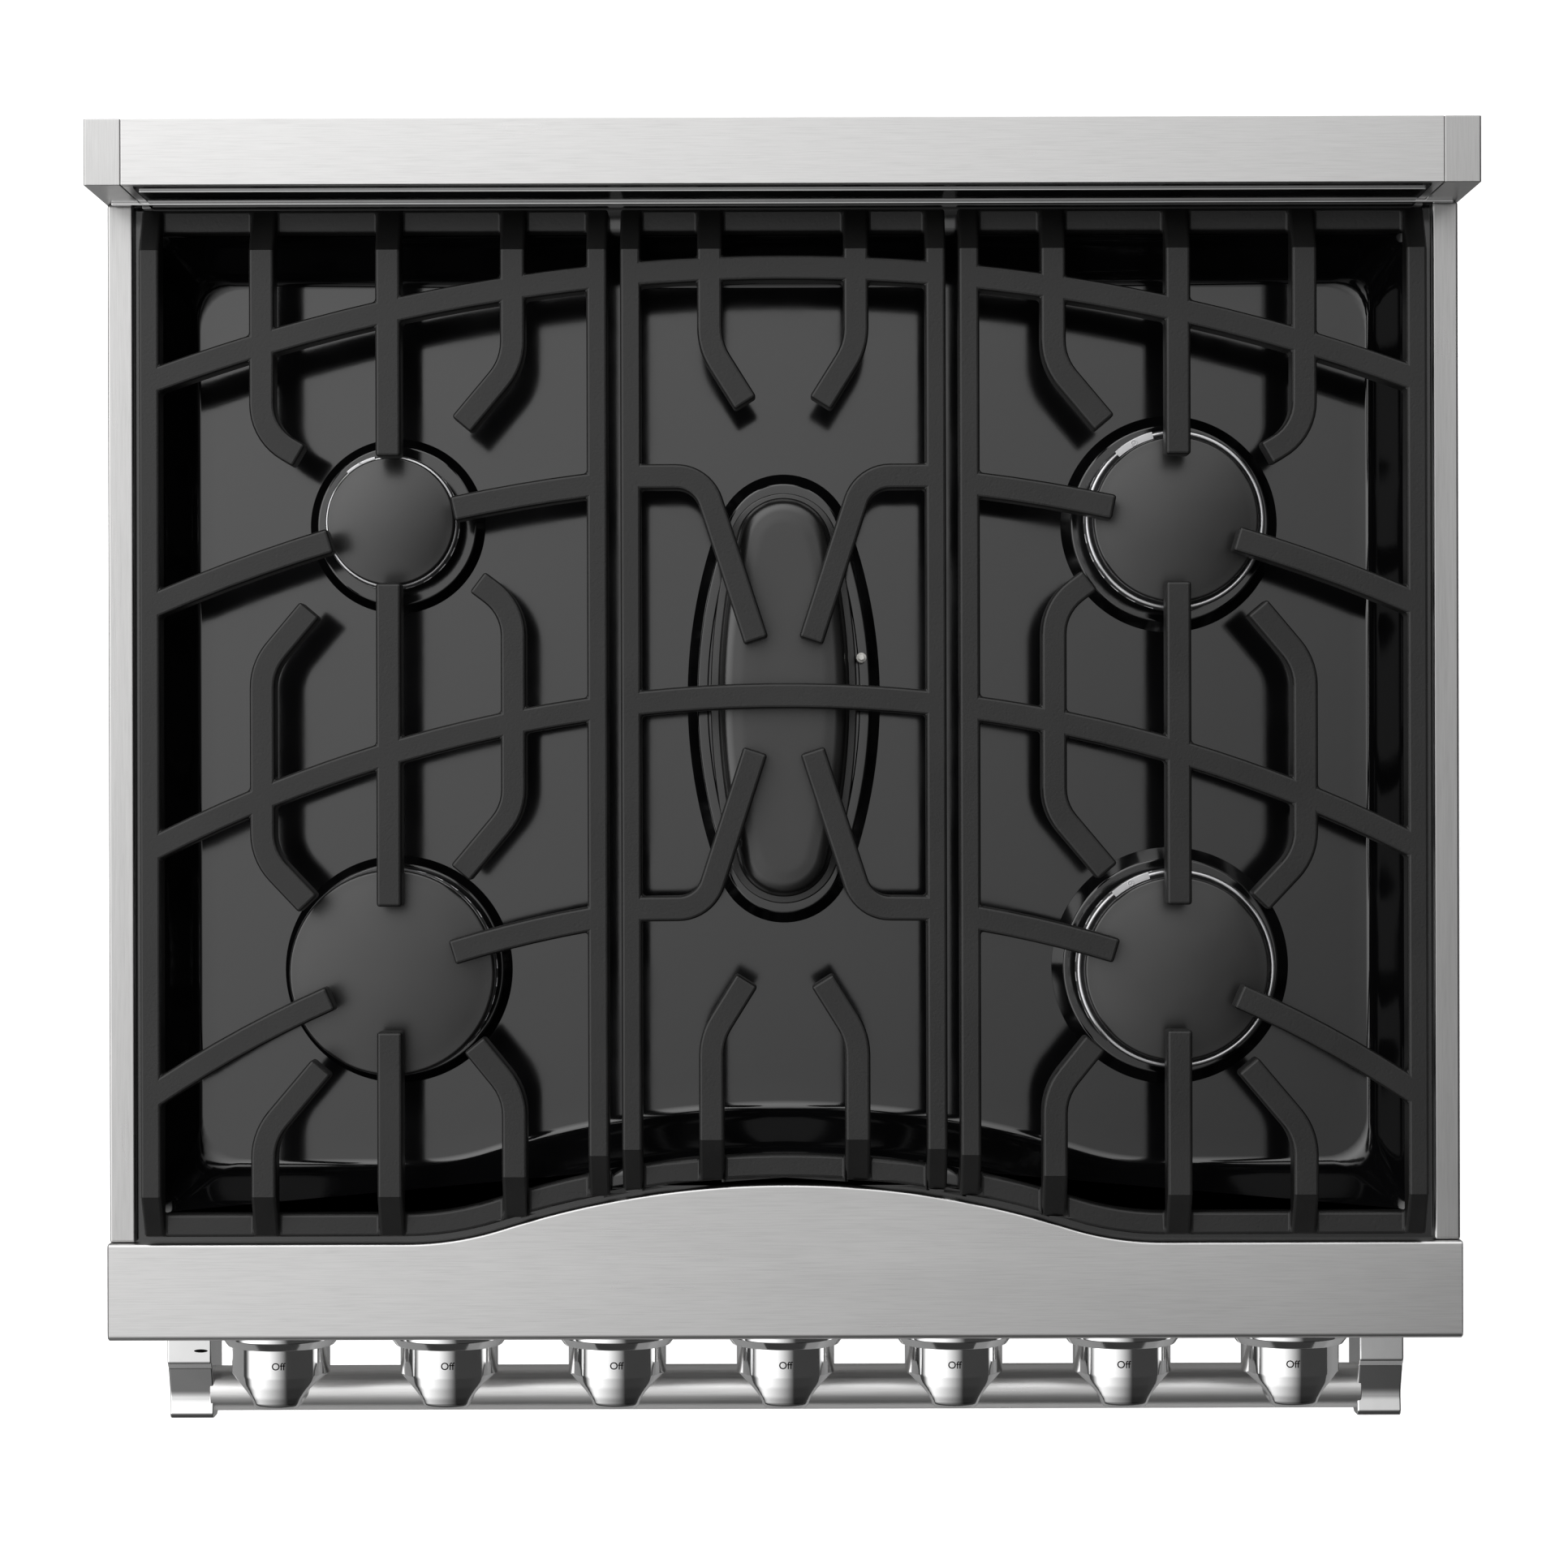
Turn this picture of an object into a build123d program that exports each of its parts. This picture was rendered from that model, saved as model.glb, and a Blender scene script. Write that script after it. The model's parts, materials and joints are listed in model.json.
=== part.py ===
from build123d import *
import math
import os

# ---------------------------------------------------------------------------
# Freestanding gas range, 30 inch class.  Millimetres, +Z up, front toward -Y,
# origin at the bottom centre of the whole machine.
# ---------------------------------------------------------------------------

# overall
HALF_W = 379.5            # half width over the landing ledge and back trim
FRONT_Y = -373.4          # foremost face, the handle brackets
REAR_Y = 373.4            # rear face of the back trim
TOP_Z = 980.0             # top of the back trim
LEG_H = 105.0             # height of the levelling legs
SHEET = 2.0               # folded sheet thickness used throughout

# cooktop levels
TRIM_Z = 914.0            # top of the side trims
LEDGE_Z = 917.0           # top of the landing ledge
RIM_Z = 908.0             # top of the pan rim, where the grates stand
PAN_Z = 869.0             # top of the pan floor
GRATE_Z = 935.0           # top of the grate bars
BAR_Z = 919.0             # underside of the grate bars
RAIL_Z = 922.0            # top of the grate rails
RAIL_FOOT = 1.2           # small pads under the rails

# landing ledge, rear edge bulging backward in the middle
LEDGE_FRONT = -299.7
LEDGE_REAR = -245.1       # straight part of the rear edge
LEDGE_PEAK = -212.4       # rear edge on the centre line
BULGE_R = 524.0           # radius of the middle arc
BULGE_X = 158.0           # where the middle arc hands over to the blend
BLEND_R = 179.0           # radius of the blend into the straight part
BLEND_X = 211.9

# pan outline, as offsets behind the ledge curve
PAN_TOP_X, PAN_TOP_REAR, PAN_TOP_OFF, PAN_TOP_CORNER = 350.0, 319.0, 17.0, 26.0
PAN_LOW_X, PAN_LOW_REAR, PAN_LOW_OFF, PAN_LOW_CORNER = 336.5, 300.0, 37.5, 21.0

# body
SIDE_X = 377.5            # outer face of the side panels
BODY_FRONT = -247.0       # front of the side panels
BODY_REAR = 370.0         # rear of the side panels

# control panel and knobs
PANEL_Y = -298.5          # front face of the control panel
PANEL_LOW, PANEL_TOP = 795.0, 903.0
KNOB_Z = 856.0
KNOB_PITCH = 96.8
KNOB_NAMES = ["left_front", "left_rear", "center", "oven_temperature",
              "oven_mode", "right_rear", "right_front"]
OVEN_KNOBS = ("oven_temperature", "oven_mode")
BEZEL_R, BEZEL_BORE, BEZEL_FRONT, BEZEL_CORNER = 33.85, 28.6, -315.4, -311.0
SKIRT_R, SKIRT_BACK, SKIRT_FRONT = 28.0, -305.0, -324.7
GRIP_HALF, GRIP_TIP, FLARE_END = 12.5, -347.6, -337.5
STEM_R, SHAFT_R, FIT = 5.0, 4.0, 0.05
STEM_BACK, STEM_SHOULDER, SHAFT_TIP = -269.0, -301.5, -322.0
VALVE_FRONT = -284.0

# door
DOOR_X, DOOR_LOW, DOOR_TOP = 376.0, 130.0, 785.0
DOOR_FRONT, DOOR_SPLIT, DOOR_BACK = -298.0, -262.0, -252.0
PIVOT_Y, PIVOT_Z, PIN_R = -270.0, 142.0, 5.0
HINGE_X = 315.0
TUBE_Y, TUBE_Z, TUBE_R = -355.6, 744.0, 13.5
BRACKET_X, BRACKET_HALF = 360.5, 13.25

# oven cavity, inside faces of the liner
CAV_X, CAV_LOW, CAV_TOP, CAV_REAR = 300.0, 218.0, 680.0, 230.0
RACK_TOP_Z, RACK_LOW_Z = 520.0, 380.0
FAN_Z = 470.0

# burners: name, x, y, cap radius, head radius, collar inner and outer radius, igniter angle
BURNERS = [
    ("left_rear", -220.5, 159.4, 36.0, 37.8, 45.0, 50.0, 118.0),
    ("left_front", -220.5, -94.0, 58.0, 58.5, 60.0, 65.0, 118.0),
    ("right_rear", 220.5, 159.5, 46.7, 51.0, 56.0, 62.0, 118.0),
    ("right_front", 220.5, -93.0, 52.0, 56.3, 61.0, 67.8, 118.0),
]
OVAL_Y = 60.3             # centre of the long burner
SEAT_RISE = 5.0           # the pan rises this much to each burner's seat


# ---------------------------------------------------------------------------
# small builders
# ---------------------------------------------------------------------------
def block(x0, x1, y0, y1, z0, z1):
    """Axis-aligned block between two corners."""
    return Pos((x0 + x1) / 2, (y0 + y1) / 2, (z0 + z1) / 2) * Box(x1 - x0, y1 - y0, z1 - z0)


def rod_x(x0, x1, y, z, r):
    """Round bar along X."""
    return Pos((x0 + x1) / 2, y, z) * Rot(0, 90, 0) * Cylinder(r, x1 - x0)


def rod_y(x, y0, y1, z, r):
    """Round bar along Y."""
    return Pos(x, (y0 + y1) / 2, z) * Rot(90, 0, 0) * Cylinder(r, y1 - y0)


def rod_z(x, y, z0, z1, r):
    """Round bar along Z."""
    return Pos(x, y, (z0 + z1) / 2) * Cylinder(r, z1 - z0)


def tray(x0, x1, y0, y1, z0, z1, open_side, wall=SHEET):
    """Five-walled sheet box, open on one side ('+y', '-y', '-z', '+z')."""
    inner = {"x0": x0 + wall, "x1": x1 - wall, "y0": y0 + wall, "y1": y1 - wall,
             "z0": z0 + wall, "z1": z1 - wall}
    key = open_side[1] + ("1" if open_side[0] == "+" else "0")
    inner[key] += 2 * wall if open_side[0] == "+" else -2 * wall
    return block(x0, x1, y0, y1, z0, z1) - block(*[inner[k] for k in ("x0", "x1", "y0", "y1", "z0", "z1")])


def turned(points, x=0.0, y=0.0):
    """Solid of revolution about a vertical axis from (radius, z) points."""
    face = make_face(Polyline(*[(r, 0, z) for r, z in points], close=True))
    return Pos(x, y, 0) * revolve(face, axis=Axis.Z)


def turned_y(points, x, z):
    """Solid of revolution about an axis along Y from (radius, y) points."""
    face = make_face(Polyline(*[(r, y, 0) for r, y in points], close=True))
    return Pos(x, 0, z) * revolve(face, axis=Axis.Y)


def oval(half_w, half_l, end_r):
    """Four-arc oval face, long axis along Y, centred on the origin."""
    dy = half_l - end_r
    side_r = (half_w ** 2 + dy ** 2 - end_r ** 2) / (2 * (half_w - end_r))
    reach = side_r - half_w
    k = end_r / math.hypot(reach, dy)
    tx, ty = reach * k, dy + dy * k
    edges = [ThreePointArc((tx, -ty), (half_w, 0), (tx, ty)),
             ThreePointArc((tx, ty), (0, half_l), (-tx, ty)),
             ThreePointArc((-tx, ty), (-half_w, 0), (-tx, -ty)),
             ThreePointArc((-tx, -ty), (0, -half_l), (tx, -ty))]
    return make_face(edges)


def oval_plate(half_w, half_l, end_r, z0, z1):
    """Oval plate of the long burner between two levels."""
    return Pos(0, OVAL_Y, z0) * extrude(oval(half_w, half_l, end_r), amount=z1 - z0)


def ledge_y(x):
    """Y of the ledge's rear edge at a given X."""
    x = abs(x)
    if x <= BULGE_X:
        return LEDGE_PEAK - BULGE_R + math.sqrt(BULGE_R ** 2 - x ** 2)
    if x <= BLEND_X:
        return LEDGE_REAR + BLEND_R - math.sqrt(BLEND_R ** 2 - (BLEND_X - x) ** 2)
    return LEDGE_REAR


def curve_edges(off, half):
    """Edges of the ledge curve moved rearward by an offset, from -half to +half in X."""
    turn = math.asin(BULGE_X / BULGE_R)
    arc_r, blend_r = BULGE_R + off, BLEND_R - off
    cy, by = LEDGE_PEAK - BULGE_R, LEDGE_REAR + BLEND_R
    hand = (arc_r * math.sin(turn), cy + arc_r * math.cos(turn))
    mid = (BLEND_X - blend_r * math.sin(turn / 2), by - blend_r * math.cos(turn / 2))
    flat = LEDGE_REAR + off
    return [Line((-half, flat), (-BLEND_X, flat)),
            ThreePointArc((-BLEND_X, flat), (-mid[0], mid[1]), (-hand[0], hand[1])),
            ThreePointArc((-hand[0], hand[1]), (0, cy + arc_r), hand),
            ThreePointArc(hand, mid, (BLEND_X, flat)),
            Line((BLEND_X, flat), (half, flat))]


def behind_curve(off, half, rear, corner=0.0):
    """Face behind the offset ledge curve, back to a straight rear edge."""
    flat = LEDGE_REAR + off
    edges = curve_edges(off, half) + [Line((half, flat), (half, rear)),
                                      Line((half, rear), (-half, rear)),
                                      Line((-half, rear), (-half, flat))]
    face = Sketch() + make_face(edges)
    if corner:
        far = [v for v in face.vertices() if abs(abs(v.X) - half) < 0.01]
        face = fillet(far, radius=corner)
    return face


def stroke(points, width, radius=0.0):
    """Flat band of even width along a line or a polyline with round corners."""
    line = Line(*points) if len(points) == 2 else FilletPolyline(*points, radius=radius)
    return trace(line, line_width=width)


def cross_arc(radius, peak, x0, x1, width):
    """Flat band along a shallow arc centred on the middle of the cooktop."""
    def at(x):
        return (x, peak - radius + math.sqrt(radius ** 2 - x ** 2))
    return trace(ThreePointArc(at(x0), at((x0 + x1) / 2), at(x1)), line_width=width)


# ---------------------------------------------------------------------------
# body sheet metal
# ---------------------------------------------------------------------------
def side_panel(side):
    """Side panel with inward flanges front and rear and two pressed beads."""
    skin = block(SIDE_X - SHEET, SIDE_X, BODY_FRONT, BODY_REAR, LEG_H + 2, 896)
    front = block(SIDE_X - 22, SIDE_X, BODY_FRONT, BODY_FRONT + SHEET, LEG_H + 23, 896)
    rear = block(SIDE_X - 22, SIDE_X, BODY_REAR - SHEET, BODY_REAR, LEG_H + 23, 896)
    panel = skin + front + rear
    for y in (-200.0, 323.0):
        panel -= block(SIDE_X - 0.6, SIDE_X + 1, y - 4, y + 4, 160, 840)
    return panel if side > 0 else mirror(panel, about=Plane.YZ)


def back_panel():
    """Rear closing sheet with three louvre fields, gas inlet hole and cord gland."""
    panel = block(-375, 375, BODY_REAR, BODY_REAR + 1.5, LEG_H + 2, 905)
    for col in (-210.0, 0.0, 210.0):
        for row in range(7):
            z = 700 + row * 22
            panel -= block(col - 70, col + 70, BODY_REAR - 1, BODY_REAR + 3, z, z + 6)
    panel -= rod_y(340, BODY_REAR - 2, BODY_REAR + 4, 160, 26)
    gland = rod_y(250, BODY_REAR - 5, REAR_Y - 0.4, 160, 9)
    gland += rod_y(250, BODY_REAR + 0.5, REAR_Y - 0.4, 160, 12)
    return panel + gland - rod_y(250, BODY_REAR - 8, REAR_Y + 2, 160, 4.2)


def chassis_base():
    """Bottom tray, stiffening ribs, leg sockets and the two hinge tabs."""
    base = tray(-375, 375, -247, 369.5, LEG_H, LEG_H + 22, "+z")
    for y in (-90.0, 60.0, 210.0):
        base += block(-373, 373, y, y + 14, LEG_H, LEG_H + 14)
    for x in (-330.0, 330.0):
        for y in (-200.0, 325.0):
            base += rod_z(x, y, LEG_H, LEG_H + 20, 24)
    for side in (-1, 1):
        x = side * HINGE_X
        post = block(x - 11, x + 11, -246.5, -228, LEG_H + 1, 162)
        neck = block(x - 7, x + 7, PIVOT_Y, -246, PIVOT_Z - 9, PIVOT_Z + 9)
        eye = rod_x(x - 7, x + 7, PIVOT_Y, PIVOT_Z, 9)
        base += post + neck + eye
        base -= rod_x(x - 9, x + 9, PIVOT_Y, PIVOT_Z, PIN_R + FIT)
    return base


def levelling_legs():
    """Four turned legs, each a sleeve, a threaded neck and a wide foot."""
    legs = []
    for x in (-330.0, 330.0):
        for y in (-200.0, 325.0):
            legs.append(turned([(0, 0), (24, 0), (26, 3), (26, 10), (13, 16), (13, 34), (21, 36),
                                (21, LEG_H), (0, LEG_H)], x, y))
    return Compound(children=legs)


def kick_panel():
    """Toe board between the front legs with a row of air slots."""
    board = tray(-372, 372, -246, -228, 24, LEG_H - 1, "+y")
    for i in range(15):
        x = -280 + i * 40
        board -= block(x - 14, x + 14, -248, -242, 60, 65)
    return board


def control_panel():
    """Folded control panel with seven shaft holes."""
    panel = tray(-SIDE_X, SIDE_X, PANEL_Y, BODY_FRONT - 0.5, PANEL_LOW, PANEL_TOP, "+y")
    panel -= block(-SIDE_X + SHEET, SIDE_X - SHEET, PANEL_Y + 20, -240, PANEL_TOP - 5, PANEL_TOP + 1)
    low_edge = [e for e in panel.edges().filter_by(Axis.X)
                if abs(e.center().Y - PANEL_Y) < 0.01 and abs(e.center().Z - PANEL_LOW) < 0.01]
    panel = fillet(low_edge, 1.8)
    for i in range(7):
        x = (i - 3) * KNOB_PITCH
        panel -= rod_y(x, PANEL_Y - 1, PANEL_Y + 4, KNOB_Z, 6.5)
    return panel


def landing_ledge():
    """Hollow ledge over the control panel, its rear edge bulging backward."""
    area = Rectangle(2 * HALF_W, 200).moved(Location((0, LEDGE_FRONT + 100)))
    plan = area - behind_curve(0, HALF_W + 20, 0)
    body = Pos(0, 0, PANEL_TOP) * extrude(plan, amount=LEDGE_Z - PANEL_TOP)
    inner_area = Rectangle(2 * HALF_W - 6, 200).moved(Location((0, LEDGE_FRONT + 103)))
    hollow = inner_area - behind_curve(-3, HALF_W + 20, 0)
    body -= Pos(0, 0, PANEL_TOP - 1) * extrude(hollow, amount=LEDGE_Z - PANEL_TOP - 2)
    body -= block(-HALF_W - 1, HALF_W + 1, BODY_FRONT - 0.5, -150, PANEL_TOP - 1, RIM_Z)
    top = [e for e in body.edges() if abs(e.center().Z - LEDGE_Z) < 0.01]
    front = [e for e in top if abs(e.center().Y - LEDGE_FRONT) < 0.01]
    body = fillet(front, 3.0)
    top = [e for e in body.edges() if abs(e.center().Z - LEDGE_Z) < 0.01
           and e.center().Y > LEDGE_FRONT + 40 and abs(e.center().X) < HALF_W - 1]
    return chamfer(top, 0.8)


def side_trim(side):
    """Bright trim along one side of the pan, with a skirt over the side panel."""
    y0, y1 = LEDGE_REAR + 0.3, 337.0
    bar = block(364, 378.5, y0, y1, RIM_Z, TRIM_Z)
    skirt = block(SIDE_X + 0.1, 378.5, y0, y1, 897, RIM_Z + 1)
    trim = bar + skirt
    long = [e for e in trim.edges().filter_by(Axis.Y) if abs(e.center().Z - TRIM_Z) < 0.01]
    trim = fillet(long, 1.4)
    return trim if side > 0 else mirror(trim, about=Plane.YZ)


def back_trim():
    """Low folded trim behind the cooktop with a lip line and a foot hem."""
    x = HALF_W - 20.2
    shell = tray(-x, x, 337.4, REAR_Y, RIM_Z, TOP_Z, "-z", 1.6)
    shell = shell - block(-x - 1, x + 1, 330, 337.9, TOP_Z - 4.2, TOP_Z - 3.2)
    hem = block(-x, x, 335.2, 337.6, RIM_Z + 0.2, RIM_Z + 3.4)
    return shell + hem


def back_trim_caps():
    """The two end caps of the back trim."""
    caps = []
    for side in (-1, 1):
        x0, x1 = sorted((side * (HALF_W - 20), side * HALF_W))
        cap = tray(x0, x1, 337.2, REAR_Y, RIM_Z, TOP_Z, "-z", 1.6)
        edges = [e for e in cap.edges() if abs(abs(e.center().X) - HALF_W) < 0.01
                 and e.center().Z > TOP_Z - 1]
        caps.append(fillet(edges, 1.2))
    return Compound(children=caps)


# ---------------------------------------------------------------------------
# cooktop
# ---------------------------------------------------------------------------
def basin(grow, deeper):
    """Tapered pan cavity; grow widens it and deeper lowers its floor."""
    top = behind_curve(PAN_TOP_OFF - grow, PAN_TOP_X + grow, PAN_TOP_REAR + grow, PAN_TOP_CORNER)
    low = behind_curve(PAN_LOW_OFF - grow, PAN_LOW_X + grow, PAN_LOW_REAR + grow, PAN_LOW_CORNER)
    high = RIM_Z + 0.01 if not deeper else RIM_Z - 1
    return loft([Pos(0, 0, PAN_Z - deeper) * low.face(), Pos(0, 0, high) * top.face()], ruled=True)


def cooktop_pan():
    """One-piece recessed pan with raised burner seats and gas openings."""
    rim = block(-377, 377, -244, 336.8, RIM_Z - SHEET, RIM_Z)
    pan = rim + basin(SHEET, SHEET) - basin(0, 0)
    for _, x, y, cap_r, _, r_in, r_out, _ in BURNERS:
        r_seat = cap_r - 5.4
        pan += turned([(r_seat, PAN_Z - 0.5), (r_out, PAN_Z - 0.5), (r_out, PAN_Z),
                       (r_in, PAN_Z + SEAT_RISE), (r_seat, PAN_Z + SEAT_RISE)], x, y)
        pan -= rod_z(x, y, PAN_Z - 4, PAN_Z + 1, cap_r * 0.35)
    pan += oval_plate(55.1, 128.3, 39.0, PAN_Z - 0.5, PAN_Z + SEAT_RISE / 2)
    pan += oval_plate(50.0, 123.3, 34.0, PAN_Z, PAN_Z + SEAT_RISE)
    pan -= oval_plate(48.0, 121.5, 32.0, PAN_Z, PAN_Z + SEAT_RISE + 1)
    for dy in (-70.0, 70.0):
        pan -= rod_z(0, OVAL_Y + dy, PAN_Z - 4, PAN_Z + 1, 11)
    return pan


def grate(sketch, rail_x, wedges):
    """Grate from its plan sketch: bars, two rails, feet and sloped bar ends."""
    x0, x1 = rail_x
    body = Pos(0, 0, BAR_Z) * extrude(sketch, amount=GRATE_Z - BAR_Z)
    rear = block(x0, x1, 319.6, 332.4, RIM_Z + RAIL_FOOT, RAIL_Z)
    band = behind_curve(4.3, HALF_W, 0) - behind_curve(17.0, HALF_W, 0)
    band = band & Rectangle(x1 - x0, 200).moved(Location(((x0 + x1) / 2, -200)))
    front = Pos(0, 0, RIM_Z + RAIL_FOOT) * extrude(band, amount=RAIL_Z - RIM_Z - RAIL_FOOT)
    body += rear
    body += front
    for x in (x0 + 14, x1 - 14):
        body += block(x - 8, x + 8, 321, 331, RIM_Z, RIM_Z + RAIL_FOOT + 1)
        y = ledge_y(x) + 10.7
        body += rod_z(x, y, RIM_Z, RIM_Z + RAIL_FOOT + 1, 5)
    for x in wedges:
        tips = [(332.6, 308.4), (ledge_y(x) + 4.1, ledge_y(x) + 28.0)]
        for end, start in tips:
            cut = make_face(Polyline((0, end, RAIL_Z), (0, start, GRATE_Z), (0, start, GRATE_Z + 5),
                                     (0, end + (end - start) * 0.3, GRATE_Z + 5),
                                     (0, end + (end - start) * 0.3, RAIL_Z), close=True))
            body -= Pos(x - 9, 0, 0) * extrude(cut, amount=18, dir=(1, 0, 0))
    return body


def straight(x, y0, y1, width):
    """Plan of a straight bar along Y."""
    return Rectangle(width, y1 - y0).moved(Location((x, (y0 + y1) / 2)))


def grate_side(side):
    """Left grate as drawn, mirrored for the right."""
    rear, width = 332.4, 14.0
    x_out, x_in = -351.9, -103.3
    plan = Sketch()
    for x, w in ((x_out, 11.6), (x_in, 11.6)):
        plan += straight(x, ledge_y(x) + 4.3, rear, w)
    plan += straight(-219.3, 193.8, rear, width)
    plan += straight(-219.3, -56.2, 123.5, width)
    plan += straight(-219.3, ledge_y(-219.3) + 4.3, -125.7, width)
    fingers = [
        ([(-289.4, rear), (-289.4, 206.3), (-268.5, 194.2)], 29),
        ([(-263.0, 108.8), (-289.5, 77.2), (-289.5, -27.9), (-264.3, -54.6)], 32),
        ([(-289.4, ledge_y(-289) + 4.3), (-289.4, -183.4), (-257.2, -145.3)], 33),
        ([(-150.1, rear), (-150.1, 245.4), (-178.6, 211.4)], 33),
        ([(-170.0, 124.1), (-150.1, 109.1), (-150.1, -2.3), (-179.7, -37.6)], 30),
        ([(-150.1, ledge_y(-150) + 4.3), (-150.1, -160.5), (-172.6, -132.8)], 33),
    ]
    for points, radius in fingers:
        plan += stroke(points, width, radius)
    for radius, peak in ((1015.0, 298.1), (770.0, 60.5)):
        plan += cross_arc(radius, peak, x_out, x_in, width)
    for radius, peak, a, b in ((877.0, 184.0, 251.5, 183.7), (629.0, -54.1, 252.1, 184.5)):
        plan += cross_arc(radius, peak, x_out, -a, width)
        plan += cross_arc(radius, peak, -b, x_in, width)
    body = grate(plan, (-357.7, -97.5), (x_out, -289.4, -219.3, -150.1, x_in))
    return body if side < 0 else mirror(body, about=Plane.YZ)


def grate_center():
    """Narrow middle grate over the long burner."""
    rear, width, x_side = 332.4, 14.0, 84.7
    plan = Sketch()
    for s in (-1, 1):
        plan += straight(s * x_side, ledge_y(x_side) + 4.3, rear, 11.4)
        fingers = [
            ([(s * 40.6, rear), (s * 40.6, 254.6), (s * 20.7, 222.8)], 35),
            ([(s * 40.6, ledge_y(40.6) + 4.3), (s * 40.6, -129.3), (s * 20.8, -97.5)], 35),
            ([(s * x_side, 182.2), (s * 44.9, 182.2), (s * 15.2, 91.0)], 20),
            ([(s * x_side, -57.8), (s * 44.3, -57.5), (s * 15.8, 30.0)], 20),
        ]
        for points, radius in fingers:
            plan += stroke(points, width, radius)
    for radius, peak in ((1015.0, 298.1), (770.0, 60.5)):
        plan += cross_arc(radius, peak, -x_side, x_side, width)
    return grate(plan, (-90.4, 90.4), (-x_side, -40.6, 40.6, x_side))


def burner_head(x, y, cap_r, head_r):
    """Round burner head: flange, waisted body, port ring and cap seat."""
    body = turned([(cap_r * 0.42, PAN_Z), (cap_r - 6, PAN_Z), (cap_r - 6, PAN_Z + 4),
                   (cap_r - 11, PAN_Z + 8), (cap_r - 9, PAN_Z + 22), (head_r - 1.5, PAN_Z + 25),
                   (head_r, PAN_Z + 27), (head_r, PAN_Z + 34), (cap_r - 4, PAN_Z + 36),
                   (cap_r - 14, PAN_Z + 36), (cap_r - 16, PAN_Z + 24), (cap_r * 0.42, PAN_Z + 14)], x, y)
    count = int(round(cap_r * 0.55))
    slots = []
    for i in range(count):
        slot = Rot(0, 0, 360 * i / count) * block(cap_r - 13, head_r + 4, -0.9, 0.9, PAN_Z + 29, PAN_Z + 33)
        slots.append(Pos(x, y, 0) * slot)
    return body - slots


def burner_head_center():
    """Long burner head with ports down both sides."""
    body = oval_plate(46, 119.5, 30.0, PAN_Z, PAN_Z + 3)
    body += oval_plate(27, 102, 17.0, PAN_Z + 2, PAN_Z + 26)
    body += oval_plate(40, 115, 29.0, PAN_Z + 25, PAN_Z + 34)
    body += oval_plate(31, 106, 21.0, PAN_Z + 33, PAN_Z + 36)
    body -= oval_plate(21, 96, 12.0, PAN_Z + 12, PAN_Z + 40)
    body -= rod_z(44.0, OVAL_Y + 22.6, PAN_Z - 1, PAN_Z + 28, 3.4)
    slots = []
    for side in (-1, 1):
        for i in range(-7, 8):
            y = OVAL_Y + i * 12.4
            slots.append(block(side * 31 - 11, side * 31 + 11, y - 0.9, y + 0.9, PAN_Z + 29, PAN_Z + 32.5))
    return body - slots


def burner_cap(x, y, cap_r):
    """Domed cap with a locating ring that drops inside the head."""
    z = PAN_Z + 36
    rings = [(cap_r * math.cos(t) * 0.985, z + 3.2 + 5.6 * math.sin(t)) for t in
             [math.radians(a) for a in (5, 15, 27, 40, 55, 70, 82)]]
    points = [(0, z + 1), (cap_r - 18.5, z + 1), (cap_r - 18.5, z - 4), (cap_r - 16, z - 4), (cap_r - 16, z)]
    points += [(cap_r - 1.2, z), (cap_r, z + 1.2)] + rings + [(0, z + 9.0)]
    return turned(points, x, y)


def burner_cap_center():
    """Long cap with rounded edges and a locating rib."""
    z = PAN_Z + 36
    cap = oval_plate(35.3, 110.7, 25.0, z, z + 9)
    top = [e for e in cap.edges() if abs(e.center().Z - z - 9) < 0.01]
    cap = fillet(top, 4.5)
    return cap + oval_plate(19.5, 94.5, 10.5, z - 4, z + 1)


def igniters():
    """Ceramic spark posts, one at each burner."""
    posts = []
    for _, x, y, cap_r, *_, angle in BURNERS:
        a = math.radians(angle)
        r = cap_r - 2.2
        px, py = x + r * math.cos(a), y + r * math.sin(a)
        foot = PAN_Z + SEAT_RISE
        posts.append(turned([(0, foot), (2.8, foot), (2.8, PAN_Z + 18), (1.2, PAN_Z + 19),
                             (1.2, PAN_Z + 22), (0, PAN_Z + 22)], px, py))
    posts.append(turned([(0, PAN_Z), (2.8, PAN_Z), (2.8, PAN_Z + 22), (1.4, PAN_Z + 23),
                         (1.4, PAN_Z + 26), (0, PAN_Z + 26)], 44.0, OVAL_Y + 22.6))
    return Compound(children=posts)


# ---------------------------------------------------------------------------
# oven
# ---------------------------------------------------------------------------
def oven_liner():
    """Enamelled cavity with front frame, floor ledges and service holes."""
    box = tray(-CAV_X - 2, CAV_X + 2, BODY_FRONT, CAV_REAR + 2, CAV_LOW - 2, CAV_TOP + 2, "-y")
    frame = block(-374, 374, BODY_FRONT - 2, BODY_FRONT, 128, 793)
    frame -= block(-CAV_X, CAV_X, BODY_FRONT - 3, BODY_FRONT + 3, CAV_LOW, CAV_TOP)
    for side in (-1, 1):
        x = side * HINGE_X
        frame -= block(x - 13, x + 13, BODY_FRONT - 3, BODY_FRONT + 3, 120, 165)
    liner = box + frame
    for side in (-1, 1):
        x0, x1 = sorted((side * (CAV_X - 12), side * (CAV_X + 1)))
        liner += block(x0, x1, -230, CAV_REAR, 262, 266)
    liner -= rod_y(0, CAV_REAR - 2, CAV_REAR + 4, FAN_Z, 8)
    liner -= rod_y(-180, CAV_REAR - 2, CAV_REAR + 4, 238, 9.5)
    liner -= rod_y(180, CAV_REAR - 2, CAV_REAR + 4, 655, 9.5)
    return liner


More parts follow.
